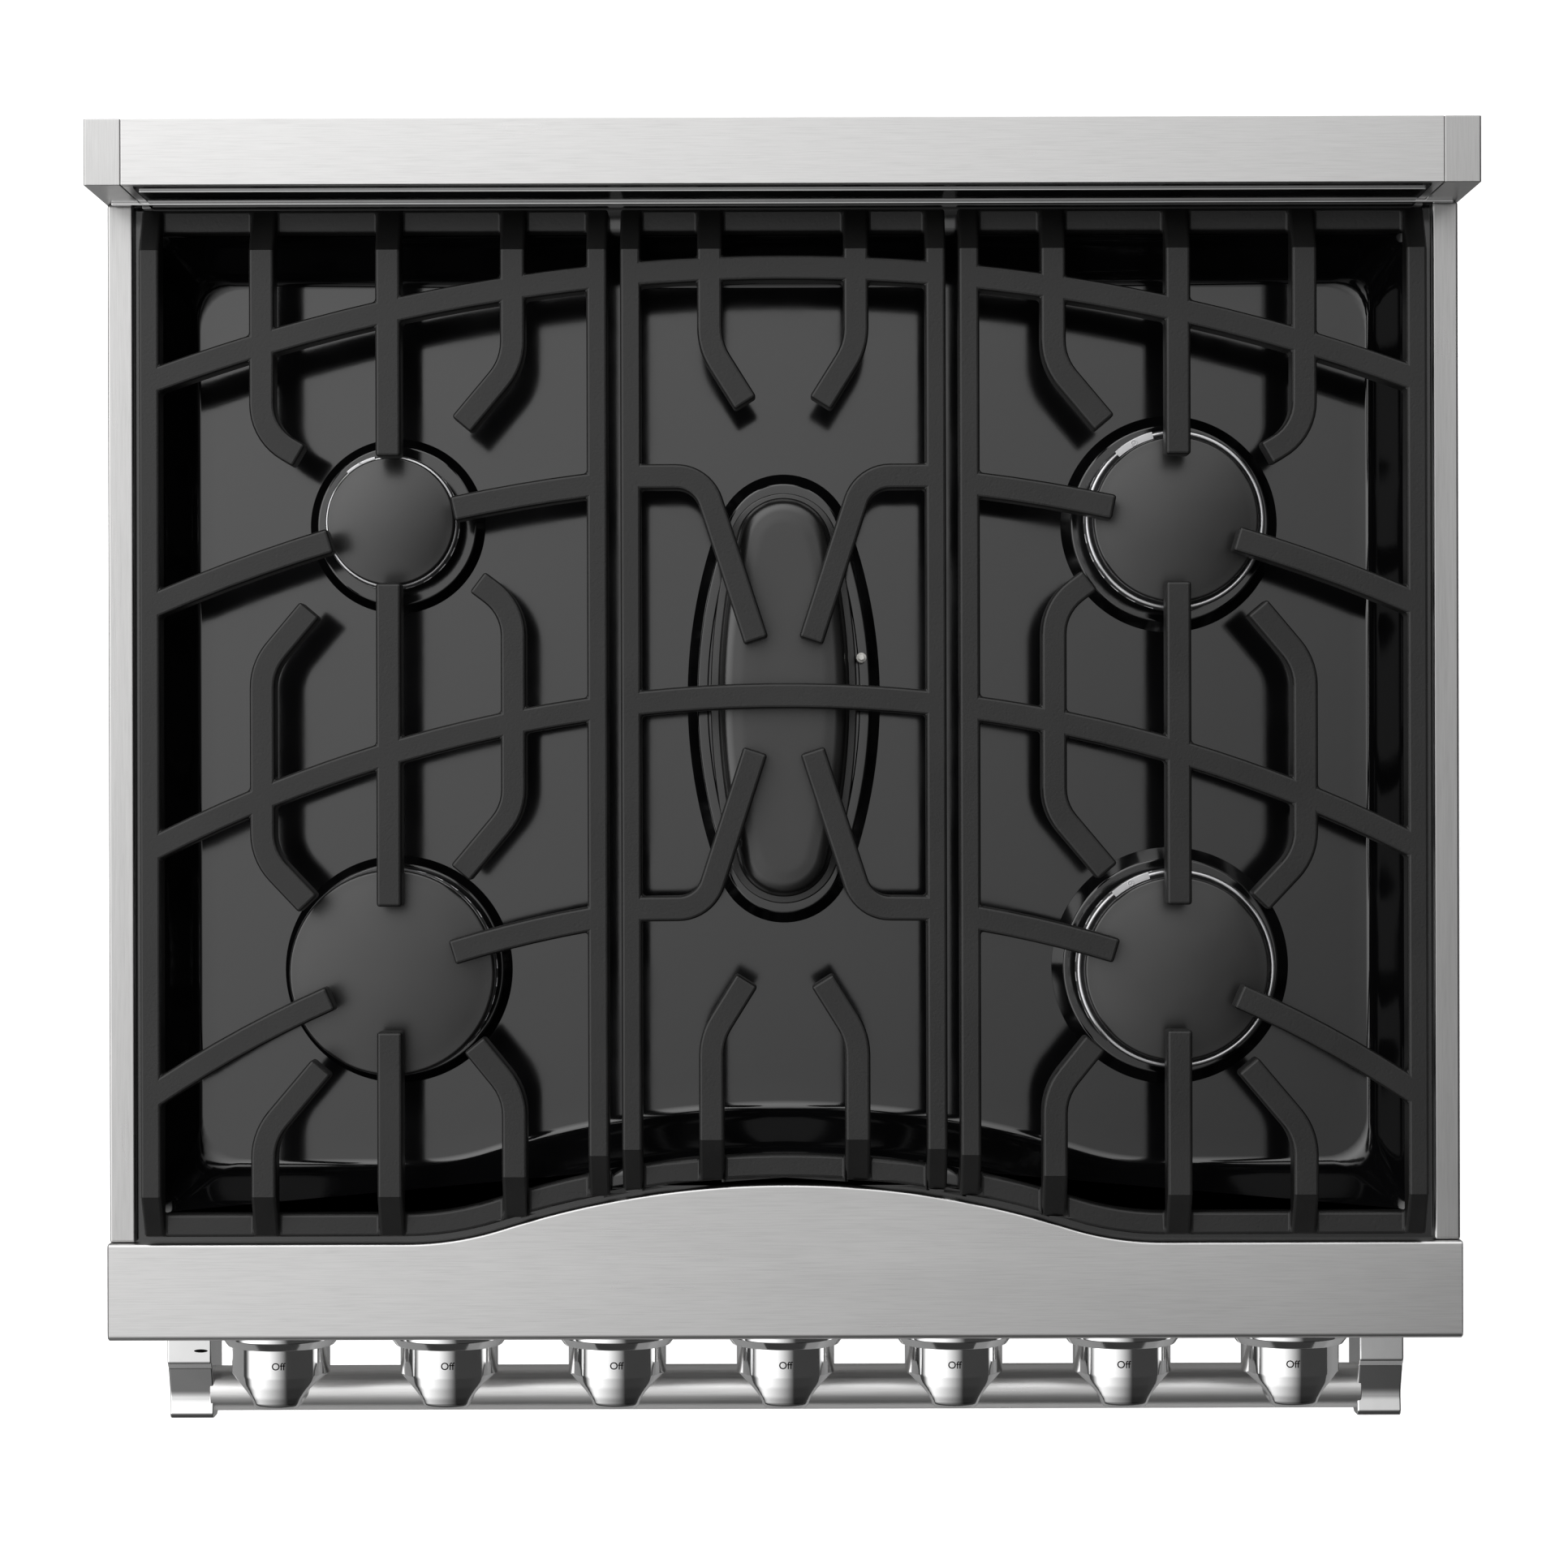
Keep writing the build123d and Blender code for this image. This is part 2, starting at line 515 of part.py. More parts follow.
def rack_guides():
    """Two wire ladders on the side walls, five rack positions."""
    sides = []
    for side in (-1, 1):
        x = side * 296.0
        ladder = rod_z(x, -205, 300, 610, 2.5) + rod_z(x, 205, 300, 610, 2.5) + rod_z(x, 0, 300, 610, 2.5)
        for z in (310.0, 380.0, 450.0, 520.0, 590.0):
            for dz in (-7.0, 7.0):
                ladder += rod_y(x - side * 4, -215, 215, z + dz, 2.5)
        sides.append(ladder)
    return Compound(children=sides)


def oven_rack(z):
    """Sliding wire rack: two runners, three cross bars and fifteen wires."""
    rack = rod_y(-286, -224, 207, z, 3.2) + rod_y(286, -224, 207, z, 3.2)
    for y in (-221.0, -20.0, 204.0):
        rack += rod_x(-284.6, 284.6, y, z, 2.8)
    for i in range(15):
        rack += rod_y(-259 + i * 37.0, -222.5, 205.5, z + 3.4, 1.9)
    return rack


def oven_floor():
    """Removable floor plate over the bake burner, slotted along its sides."""
    plate = block(-298, 298, -226, 228, 266, 268)
    for side in (-1, 1):
        for i in range(7):
            y = -170 + i * 56
            plate -= block(side * 262 - 5, side * 262 + 5, y, y + 36, 262, 272)
    return plate


def bake_burner():
    """Tube burner under the floor plate, in a long loop back to the rear wall."""
    y0, y1, z, r = -160.0, 226.0, 238.0, 8.0
    tube = rod_y(-180, y0, y1 + 18, z, r) + rod_y(180, y0, 190, z, r) + rod_x(-180, 180, y0, z, r)
    for x in (-180.0, 180.0):
        tube += Pos(x, y0, z) * Sphere(r)
    for x in (-180.0, 180.0):
        tube += block(x - 3, x + 3, 120, 126, CAV_LOW, z - r + 1)
    tube += block(-3, 3, y0 - 3, y0 + 3, CAV_LOW, z - r + 1)
    return tube


def broil_burner():
    """Broil burner hung from the cavity roof with a perforated face."""
    body = tray(-150, 150, -120, 160, 640, 668, "+z") + block(-150, 150, -120, 160, 666, 668)
    body += rod_y(180, 100, CAV_REAR + 12, 655, 8) + block(148, 184, 100, 116, 648, 662)
    for x in (-130.0, 130.0):
        for y in (-100.0, 140.0):
            body += rod_z(x, y, 667, CAV_TOP, 4)
    for i in range(9):
        for j in range(5):
            x, y = -120 + i * 30, -90 + j * 52
            body -= block(x - 9, x + 9, y - 3, y + 3, 636, 645)
    return body


def fan_cover():
    """Convection cover on the rear wall with a ring of inlet slots."""
    cover = tray(-120, 120, 210, CAV_REAR, FAN_Z - 105, FAN_Z + 105, "+y")
    for i in range(12):
        a = Rot(0, 360 * i / 12, 0)
        cover -= Pos(0, 211, FAN_Z) * a * Box(9, 8, 34).moved(Location((0, 0, 42)))
    for side in (-1, 1):
        for z in (-70.0, -35.0, 0.0, 35.0, 70.0):
            cover -= block(side * 120 - 4, side * 120 + 4, 215, 226, FAN_Z + z - 8, FAN_Z + z + 8)
    return cover


def fan_wheel():
    """Convection fan wheel on its shaft."""
    wheel = rod_y(0, 213.5, 226, FAN_Z, 9) + rod_y(0, 225, 262, FAN_Z, 4) + rod_y(0, 223, 225, FAN_Z, 66)
    for i in range(12):
        blade = Rot(0, 360 * i / 12, 0) * block(30, 78, 214, 224, -1, 1)
        wheel += Pos(0, 0, FAN_Z) * blade
    return wheel


# ---------------------------------------------------------------------------
# door
# ---------------------------------------------------------------------------
def door_skin():
    """Outer door tray with window and hinge pockets."""
    skin = tray(-DOOR_X, DOOR_X, DOOR_FRONT, DOOR_SPLIT, DOOR_LOW, DOOR_TOP, "+y")
    rim = [e for e in skin.edges() if abs(e.center().Y - DOOR_FRONT) < 0.01]
    skin = fillet(rim, 1.8)
    skin -= block(-235, 235, DOOR_FRONT - 2, DOOR_FRONT + 4, 335, 605)
    for side in (-1, 1):
        x = side * HINGE_X
        skin -= block(x - 23, x + 23, DOOR_FRONT + 4, DOOR_SPLIT + 1, DOOR_LOW - 1, DOOR_LOW + 3)
    return skin


def door_liner():
    """Inner door tray with a raised field, window and hinge slots."""
    liner = tray(-373, 373, DOOR_SPLIT, DOOR_BACK, DOOR_LOW + 3, DOOR_TOP - 3, "-y")
    liner += tray(-284, 284, DOOR_BACK - 2, DOOR_BACK + 6, 290, 664, "-y")
    liner -= block(-280, 280, DOOR_BACK - 3, DOOR_BACK + 1, 294, 660)
    liner -= block(-215, 215, DOOR_BACK - 4, DOOR_BACK + 8, 350, 590)
    for side in (-1, 1):
        x = side * HINGE_X
        liner -= block(x - 23, x + 23, DOOR_SPLIT - 1, DOOR_BACK + 1, DOOR_LOW, PIVOT_Z + 20)
    return liner


def door_glass():
    """Outer and inner window panes."""
    outer = block(-248, 248, DOOR_FRONT + 2, DOOR_FRONT + 6, 322, 618)
    inner = block(-228, 228, -252, -248, 337, 603)
    return Compound(children=[outer, inner])


def door_gasket():
    """Woven seal round the cavity mouth, fixed on the door."""
    ring = block(-323, 323, DOOR_BACK, -249.5, 196, 702) - block(-311, 311, -253, -248, 208, 690)
    edges = [e for e in ring.edges().filter_by(Axis.Y)]
    return fillet(edges, 5.5)


def door_hinges():
    """Hinge arms inside the door, each with a pin through the chassis tab."""
    arms = []
    for side in (-1, 1):
        x = side * HINGE_X
        arm = block(x - 19, x + 19, -288, -264, 166, 300)
        arm += block(x - 19, x - 11, -284, -264, 134, 170) + block(x + 11, x + 19, -284, -264, 134, 170)
        arm += rod_x(x - 15, x + 15, PIVOT_Y, PIVOT_Z, PIN_R)
        arms.append(arm)
    return Compound(children=arms)


def handle_tube():
    """Round towel-bar handle between the brackets."""
    reach = BRACKET_X - BRACKET_HALF
    bore = rod_x(-reach - 1, reach + 1, TUBE_Y, TUBE_Z, TUBE_R - 2)
    return rod_x(-reach, reach, TUBE_Y, TUBE_Z, TUBE_R) - bore


def handle_bracket(side):
    """Rectangular end bracket; the left one carries a set screw hole on top."""
    x = side * BRACKET_X
    body = block(x - BRACKET_HALF, x + BRACKET_HALF, FRONT_Y, DOOR_FRONT, TUBE_Z - 22, TUBE_Z + 22)
    edges = [e for e in body.edges() if e.center().Y < DOOR_FRONT - 1]
    body = chamfer(edges, 0.9)
    if side < 0:
        body -= rod_z(x, TUBE_Y + 4, TUBE_Z + 14, TUBE_Z + 24, 2.2)
    return body


# ---------------------------------------------------------------------------
# gas train and knobs
# ---------------------------------------------------------------------------
def knob_x(name):
    """X of a knob from its place in the row."""
    return (KNOB_NAMES.index(name) - 3) * KNOB_PITCH


def gas_manifold():
    """Pipe from the regulator up the rear, forward and along the valves."""
    x, zm, ym, r = 340.0, 826.0, -264.0, 9.0
    pipe = rod_z(x, 318, 182, zm, 8) + rod_y(x, ym, 318, zm, 8) + rod_x(-320, x, ym, zm, r)
    pipe += Pos(x, 318, zm) * Sphere(8) + Pos(x, ym, zm) * Sphere(r)
    for name in KNOB_NAMES:
        if name != "oven_mode":
            pipe += rod_z(knob_x(name), ym, zm, 838, 5)
    return pipe


def burner_valves():
    """Five burner valves plus the oven thermostat and the mode switch."""
    bodies = []
    for name in KNOB_NAMES:
        x = knob_x(name)
        half = 16 if name in OVEN_KNOBS else 12
        valve = block(x - half, x + half, VALVE_FRONT, -246, 838, 872)
        valve += rod_y(x, -250, -236, KNOB_Z, 7)
        valve -= rod_y(x, VALVE_FRONT - 1, STEM_BACK + 3, KNOB_Z, STEM_R + FIT)
        bodies.append(valve)
    return Compound(children=bodies)


def gas_regulator():
    """Appliance regulator with its inlet stub through the back panel."""
    body = rod_z(340, 318, 138, 182, 24) + rod_z(340, 318, 128, 139, 15)
    body += rod_y(340, 330, 352, 160, 13) + rod_y(340, 351, 373.2, 160, 10.5)
    return body - rod_y(340, 346, 374, 160, 7.5)


def knob_bezels():
    """Seven stepped bezels on the control panel."""
    rings = []
    for name in KNOB_NAMES:
        rings.append(turned_y([(BEZEL_BORE, PANEL_Y), (BEZEL_R, PANEL_Y), (BEZEL_R, BEZEL_CORNER),
                               (BEZEL_R - 2.6, BEZEL_FRONT), (BEZEL_BORE, BEZEL_FRONT)],
                              knob_x(name), KNOB_Z))
    return Compound(children=rings)


def shaft_cut(x, r, y0, y1, flat):
    """D-section shaft between two Y planes, flat on its upper side."""
    return rod_y(x, y0, y1, KNOB_Z, r) - block(x - 9, x + 9, y0 - 1, y1 + 1, KNOB_Z + flat, KNOB_Z + 12)


def knob(name):
    """Knob with a round skirt, concave flares and a vertical grip bar."""
    x = knob_x(name)
    outline = [Line((-SKIRT_R, SKIRT_BACK), (-SKIRT_R, SKIRT_FRONT)),
               ThreePointArc((-SKIRT_R, SKIRT_FRONT), (-17.0, -327.6), (-GRIP_HALF, FLARE_END)),
               Line((-GRIP_HALF, FLARE_END), (-GRIP_HALF + 0.7, GRIP_TIP)),
               Line((-GRIP_HALF + 0.7, GRIP_TIP), (GRIP_HALF - 0.7, GRIP_TIP)),
               Line((GRIP_HALF - 0.7, GRIP_TIP), (GRIP_HALF, FLARE_END)),
               ThreePointArc((GRIP_HALF, FLARE_END), (17.0, -327.6), (SKIRT_R, SKIRT_FRONT)),
               Line((SKIRT_R, SKIRT_FRONT), (SKIRT_R, SKIRT_BACK)),
               Line((SKIRT_R, SKIRT_BACK), (-SKIRT_R, SKIRT_BACK))]
    bar = Pos(x, 0, KNOB_Z - 40) * extrude(make_face(outline), amount=80)
    envelope = turned_y([(0, SKIRT_BACK), (SKIRT_R - 0.4, SKIRT_BACK), (SKIRT_R, SKIRT_BACK - 0.4),
                         (SKIRT_R, SKIRT_FRONT), (SKIRT_R - 1.2, -332.0), (SKIRT_R - 2.2, -340.0),
                         (SKIRT_R - 3.6, -345.4), (SKIRT_R - 6.0, GRIP_TIP), (0, GRIP_TIP)], x, KNOB_Z)
    body = bar & envelope
    body -= turned_y([(9, SKIRT_BACK + 1), (25, SKIRT_BACK + 1), (25, SKIRT_BACK - 9),
                      (9, SKIRT_BACK - 9)], x, KNOB_Z)
    if name in OVEN_KNOBS:
        return body + rod_y(x, SKIRT_BACK - 2, STEM_BACK, KNOB_Z, STEM_R)
    return body - shaft_cut(x, SHAFT_R + FIT, -326.0, SKIRT_BACK + 1, 2.8 + FIT)


def valve_stem(name):
    """Valve stem: round in the valve body, D-section inside the knob."""
    x = knob_x(name)
    return rod_y(x, STEM_SHOULDER, STEM_BACK, KNOB_Z, STEM_R) + \
        shaft_cut(x, SHAFT_R, SHAFT_TIP, STEM_SHOULDER + 1, 2.8)


# ---------------------------------------------------------------------------
# everything, by node name
# ---------------------------------------------------------------------------
NODES = {
    "side_panel_left": lambda: side_panel(-1), "side_panel_right": lambda: side_panel(1),
    "back_panel": back_panel, "chassis_base": chassis_base, "levelling_legs": levelling_legs,
    "kick_panel": kick_panel, "control_panel": control_panel, "landing_ledge": landing_ledge,
    "side_trim_left": lambda: side_trim(-1), "side_trim_right": lambda: side_trim(1),
    "back_trim": back_trim, "back_trim_caps": back_trim_caps, "cooktop_pan": cooktop_pan,
    "grate_left": lambda: grate_side(-1), "grate_center": grate_center,
    "grate_right": lambda: grate_side(1),
    "burner_head_center": burner_head_center, "burner_cap_center": burner_cap_center,
    "igniters": igniters, "oven_liner": oven_liner, "rack_guides": rack_guides,
    "oven_rack_upper": lambda: oven_rack(RACK_TOP_Z), "oven_rack_lower": lambda: oven_rack(RACK_LOW_Z),
    "oven_floor": oven_floor, "bake_burner": bake_burner, "broil_burner": broil_burner,
    "fan_cover": fan_cover, "fan_wheel": fan_wheel, "door_skin": door_skin, "door_liner": door_liner,
    "door_glass": door_glass, "door_gasket": door_gasket, "door_hinges": door_hinges,
    "handle_tube": handle_tube, "handle_bracket_left": lambda: handle_bracket(-1),
    "handle_bracket_right": lambda: handle_bracket(1), "gas_manifold": gas_manifold,
    "burner_valves": burner_valves, "gas_regulator": gas_regulator, "knob_bezels": knob_bezels,
}


def main():
    """Build every node and write it as its own STEP file."""
    os.makedirs("parts", exist_ok=True)
    shapes = {name: make() for name, make in NODES.items()}
    for name, x, y, cap_r, head_r, _, _, _ in BURNERS:
        shapes["burner_head_" + name] = burner_head(x, y, cap_r, head_r)
        shapes["burner_cap_" + name] = burner_cap(x, y, cap_r)
    for name in KNOB_NAMES:
        shapes["knob_" + name] = knob(name)
        if name not in OVEN_KNOBS:
            shapes["valve_stem_" + name] = valve_stem(name)
    for name, shape in shapes.items():
        export_step(shape, os.path.join("parts", name + ".step"))


main()
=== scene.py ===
"""The looks of a freestanding gas range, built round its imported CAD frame.

Everything is in metres in the frame's own axes: +Z up, the front faces -Y, and the origin is on
the floor under the middle.  Sizes inside the classes are in millimetres, the unit a maker would
read off a drawing, and Shell.build turns them into metres.
"""
from __future__ import annotations

import json
import logging
import math
from dataclasses import dataclass, field
from enum import Enum
from typing import Sequence

import bmesh
import bpy
import numpy as np
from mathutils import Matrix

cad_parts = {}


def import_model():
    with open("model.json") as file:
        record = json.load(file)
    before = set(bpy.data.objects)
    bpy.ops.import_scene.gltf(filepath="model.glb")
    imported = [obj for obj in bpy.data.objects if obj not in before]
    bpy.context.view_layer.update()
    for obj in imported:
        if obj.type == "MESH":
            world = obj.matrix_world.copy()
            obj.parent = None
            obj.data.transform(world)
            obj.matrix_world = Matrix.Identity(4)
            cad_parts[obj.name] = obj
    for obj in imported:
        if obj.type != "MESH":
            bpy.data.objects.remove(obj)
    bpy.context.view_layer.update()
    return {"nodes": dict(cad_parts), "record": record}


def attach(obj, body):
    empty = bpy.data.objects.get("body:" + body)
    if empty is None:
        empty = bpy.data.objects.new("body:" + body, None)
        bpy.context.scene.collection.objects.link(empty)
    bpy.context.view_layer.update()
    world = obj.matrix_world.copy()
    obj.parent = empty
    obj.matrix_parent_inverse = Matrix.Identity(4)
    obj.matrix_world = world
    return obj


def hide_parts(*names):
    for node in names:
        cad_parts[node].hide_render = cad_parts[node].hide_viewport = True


LOG = logging.getLogger("gas_range")
MM = 0.001
SAME_POINT = 2e-6   # metres: points nearer than this are one
NO_LENGTH = 1e-7    # metres: edges shorter than this vanish
HEAD_HEIGHT = 36.0  # millimetres from the pan's floor to the top of a burner head
SEAT_SINK = 0.4     # millimetres that a seat's foot reaches into the pan's floor


# --------------------------------------------------------------------------- mesh tools
class Shell:
    """Collects grids and caps as whole arrays and makes one mesh object of them."""

    def __init__(self) -> None:
        """Starts with no points and no faces."""
        self.points: list[np.ndarray] = []
        self.faces: list[list[int]] = []
        self.count = 0

    def _take(self, points: np.ndarray) -> int:
        """Stores points and returns the index of the first of them."""
        first = self.count
        self.points.append(points.reshape(-1, 3))
        self.count += self.points[-1].shape[0]
        return first

    def grid(self, points: np.ndarray, wrap_rows: bool = False, wrap_cols: bool = False) -> None:
        """Adds a surface given as a grid of points.

        Args:
            points: array (rows, columns, 3) in millimetres.
            wrap_rows: joins the last row to the first.
            wrap_cols: joins the last column to the first.
        """
        rows, cols = points.shape[:2]
        index = np.arange(rows * cols).reshape(rows, cols) + self._take(points)
        down = np.roll(index, -1, 0) if wrap_rows else index[1:]
        index = index if wrap_rows else index[:-1]
        if wrap_cols:
            right, down_right = np.roll(index, -1, 1), np.roll(down, -1, 1)
        else:
            right, down_right, index, down = index[:, 1:], down[:, 1:], index[:, :-1], down[:, :-1]
        self.faces += np.stack([index, right, down_right, down], -1).reshape(-1, 4).tolist()

    def cap(self, ring: np.ndarray) -> None:
        """Closes one ring of points, an array (n, 3), with a single face."""
        first = self._take(ring)
        self.faces.append(list(range(first, first + len(ring))))

    def tube(self, rings: np.ndarray) -> None:
        """Adds a closed body: rings (n, steps, 3) joined round, with a face at both ends."""
        self.grid(rings, wrap_cols=True)
        self.cap(rings[0])
        self.cap(rings[-1])

    def build(self, name: str, body: str, slot: str, material: bpy.types.Material,
              closed: bool = True) -> bpy.types.Object:
        """Makes the mesh object, merges its doubles and turns its faces outward.

        Args:
            name: the piece's name.
            body: the CAD body it rides on.
            slot: the record's material slot; not used.
            material: the material it wears.
            closed: False leaves the faces as they were given, for an open sheet.

        Returns:
            The new object, riding on its body.
        """
        mesh = bpy.data.meshes.new(name)
        mesh.from_pydata((np.concatenate(self.points) * MM).tolist(), [], self.faces)
        work = bmesh.new()
        work.from_mesh(mesh)
        bmesh.ops.remove_doubles(work, verts=work.verts, dist=SAME_POINT)
        bmesh.ops.dissolve_degenerate(work, edges=work.edges, dist=NO_LENGTH)
        if closed:
            bmesh.ops.recalc_face_normals(work, faces=work.faces)
        work.to_mesh(mesh)
        work.free()
        mesh.polygons.foreach_set("use_smooth", np.ones(len(mesh.polygons), bool))
        mesh.materials.append(material)
        piece = bpy.data.objects.new(name, mesh)
        bpy.context.scene.collection.objects.link(piece)
        sharpen(piece)
        even_shading(piece)
        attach(piece, body)
        LOG.info("%s: %d faces on %s", name, len(mesh.polygons), body)
        return piece


def sharpen(piece: bpy.types.Object, degrees: float = 34.0) -> None:
    """Marks edges sharper than an angle, so that smooth shading stops at them."""
    work = bmesh.new()
    work.from_mesh(piece.data)
    limit = math.radians(degrees)
    for edge in work.edges:
        edge.smooth = len(edge.link_faces) == 2 and edge.calc_face_angle(0.0) < limit
    work.to_mesh(piece.data)
    work.free()


def even_shading(piece: bpy.types.Object) -> None:
    """Lets large flat faces set the shading, so that it only turns along the rounded edges."""
    normals = piece.modifiers.new("shading", "WEIGHTED_NORMAL")
    normals.mode, normals.weight, normals.keep_sharp = "FACE_AREA", 50, True


def softened(points: Sequence[tuple[float, float]], radius: float, steps: int = 5,
             loop: bool = False) -> np.ndarray:
    """Rounds the corners of a flat outline.

    Each corner b between a and c is replaced by the curve (1-s)^2 p + 2s(1-s) b + s^2 q, where p
    and q lie a radius from b, or 45 % of the shorter side where that is less.

    Args:
        points: the outline's corners.
        radius: how far from its corner each curve starts.
        steps: points on each curve.
        loop: True rounds the first and last corner too.

    Returns:
        Array (n, 2) of the rounded outline.
    """
    p = np.asarray(points, float)
    before, after = np.roll(p, 1, 0) - p, np.roll(p, -1, 0) - p
    near = np.minimum(np.linalg.norm(before, axis=1), np.linalg.norm(after, axis=1))
    reach = np.minimum(radius, 0.45 * near)[:, None]
    start = p + before / np.maximum(np.linalg.norm(before, axis=1, keepdims=True), 1e-9) * reach
    end = p + after / np.maximum(np.linalg.norm(after, axis=1, keepdims=True), 1e-9) * reach
    s = np.linspace(0, 1, steps)[None, :, None]
    curve = (1 - s) ** 2 * start[:, None] + 2 * s * (1 - s) * p[:, None] + s ** 2 * end[:, None]
    if loop:
        return curve.reshape(-1, 2)
    return np.concatenate([p[:1], curve[1:-1].reshape(-1, 2), p[-1:]])


def turned(profile: np.ndarray, x: float = 0.0, y: float = 0.0, steps: int = 96) -> np.ndarray:
    """Carries a profile round a vertical axis: (r, z) becomes (x + r cos t, y + r sin t, z).

    Args:
        profile: array (n, 2) of radius and height.
        x: the axis's X.
        y: the axis's Y.
        steps: points round the axis.

    Returns:
        Array (n, steps, 3), whose columns wrap.
    """
    t = np.linspace(0, 2 * math.pi, steps, endpoint=False)[None]
    r, z = profile[:, :1], profile[:, 1:]
    return np.stack([x + r * np.cos(t), y + r * np.sin(t), z + 0 * t], -1)


def turned_forward(profile: np.ndarray, x: float, z: float, steps: int = 96) -> np.ndarray:
    """Carries (r, y) round an axis along Y: it becomes (x + r cos t, y, z + r sin t)."""
    t = np.linspace(0, 2 * math.pi, steps, endpoint=False)[None]
    r, y = profile[:, :1], profile[:, 1:]
    return np.stack([x + r * np.cos(t), y + 0 * t, z + r * np.sin(t)], -1)


def ease(u: np.ndarray, soft: float) -> np.ndarray:
    """A straight ramp from 0 to 1 whose two corners are rounded over a width of soft each way.

    It is the ramp clamp(u, 0, 1) averaged over a window 2 soft wide, so near 0 it is
    (u + soft)^2 / (4 soft), in the middle it is u, and near 1 it mirrors that.
    """
    foot = np.clip(u + soft, 0, 2 * soft) ** 2 / (4 * soft) + np.clip(u - soft, 0, None)
    head = np.clip(u - 1 + soft, 0, 2 * soft) ** 2 / (4 * soft) + np.clip(u - 1 - soft, 0, None)
    return foot - head


# --------------------------------------------------------------------------- node tools
class Tree:
    """Short hand for building one node tree."""

    def __init__(self, tree: bpy.types.NodeTree) -> None:
        """Works on the given tree."""
        self.tree = tree

    def feed(self, node: bpy.types.Node, socket: str | int, value: object) -> None:
        """Links a socket to a node's input, or sets the input's own value."""
        if isinstance(value, bpy.types.NodeSocket):
            self.tree.links.new(value, node.inputs[socket])
        else:
            node.inputs[socket].default_value = value

    def add(self, kind: str, inputs: dict | None = None, **settings: object) -> bpy.types.Node:
        """Adds a node.

        Args:
            kind: the node's type without its ShaderNode prefix.
            inputs: values or sockets by input name or number.
            settings: the node's own properties.

        Returns:
            The new node.
        """
        node = self.tree.nodes.new("ShaderNode" + kind)
        for name, value in settings.items():
            setattr(node, name, value)
        for socket, value in (inputs or {}).items():
            self.feed(node, socket, value)
        return node

    def math(self, operation: str, a: object, b: object = 0.0) -> bpy.types.NodeSocket:
        """Adds a Math node and returns its result."""
        return self.add("Math", {0: a, 1: b}, operation=operation).outputs[0]

    def ramp(self, value: object, stops: Sequence[tuple[float, tuple]]) -> bpy.types.NodeSocket:
        """Adds a colour ramp with the given (place, colour) stops and returns its colour."""
        node = self.add("ValToRGB", {"Fac": value})
        elements = node.color_ramp.elements
        while len(elements) < len(stops):
            elements.new(0.5)
        for element, (place, colour) in zip(elements, stops):
            element.position, element.color = place, (*colour[:3], 1.0)
        return node.outputs["Color"]

    def spread(self, value: object, low: float, high: float) -> bpy.types.NodeSocket:
        """Maps 0..1 to low..high and returns the result."""
        node = self.add("MapRange", {"Value": value, "To Min": low, "To Max": high})
        return node.outputs["Result"]


class Effect(Enum):
    """The shader effects that several finishes share, each one node group."""

    BRUSHED = "Brushed grain"
    SMUDGE = "Handling smudges"
    CAST = "Cast skin"
    SPECKLE = "Enamel speckle"
    PEEL = "Paint peel"

    def group(self) -> bpy.types.NodeTree:
        """Returns the effect's node group, building it the first time."""
        known = bpy.data.node_groups.get(self.value)
        if known:
            return known
        tree = bpy.data.node_groups.new(self.value, "ShaderNodeTree")
        makers = {Effect.BRUSHED: _brushed, Effect.SMUDGE: _smudge, Effect.CAST: _cast,
                  Effect.SPECKLE: _speckle, Effect.PEEL: _peel}
        makers[self](tree)
        return tree


def _sockets(tree: bpy.types.NodeTree, inputs: dict[str, object],
             outputs: Sequence[str]) -> tuple[bpy.types.Node, bpy.types.Node]:
    """Gives a group its sockets: vectors for triples, floats otherwise.

    Args:
        tree: the group.
        inputs: default value by input name; a triple makes a vector socket.
        outputs: names of the float outputs.

    Returns:
        The group's input node and output node.
    """
    for name, value in inputs.items():
        kind = "NodeSocketVector" if isinstance(value, tuple) else "NodeSocketFloat"
        socket = tree.interface.new_socket(name, in_out="INPUT", socket_type=kind)
        socket.default_value = value
    for name in outputs:
        tree.interface.new_socket(name, in_out="OUTPUT", socket_type="NodeSocketFloat")
    return tree.nodes.new("NodeGroupInput"), tree.nodes.new("NodeGroupOutput")


def _brushed(tree: bpy.types.NodeTree) -> None:
    """Long fine streaks: noise on coordinates stretched across the brushing direction."""
    t = Tree(tree)
    start, end = _sockets(tree, {"Vector": (0.0, 0.0, 0.0), "Stretch": (1.0, 1.0, 1.0)},
                          ("Streak", "Band"))
    fine = t.add("VectorMath", {0: start.outputs["Vector"], 1: start.outputs["Stretch"]},
                 operation="MULTIPLY").outputs[0]
    wide = t.add("VectorMath", {0: fine, "Scale": 0.07}, operation="SCALE").outputs[0]
    streak = t.add("TexNoise", {"Vector": fine, "Scale": 1.0, "Detail": 4.0, "Roughness": 0.65})
    band = t.add("TexNoise", {"Vector": wide, "Scale": 1.0, "Detail": 3.0, "Roughness": 0.5})
    t.feed(end, "Streak", streak.outputs["Fac"])
    t.feed(end, "Band", band.outputs["Fac"])


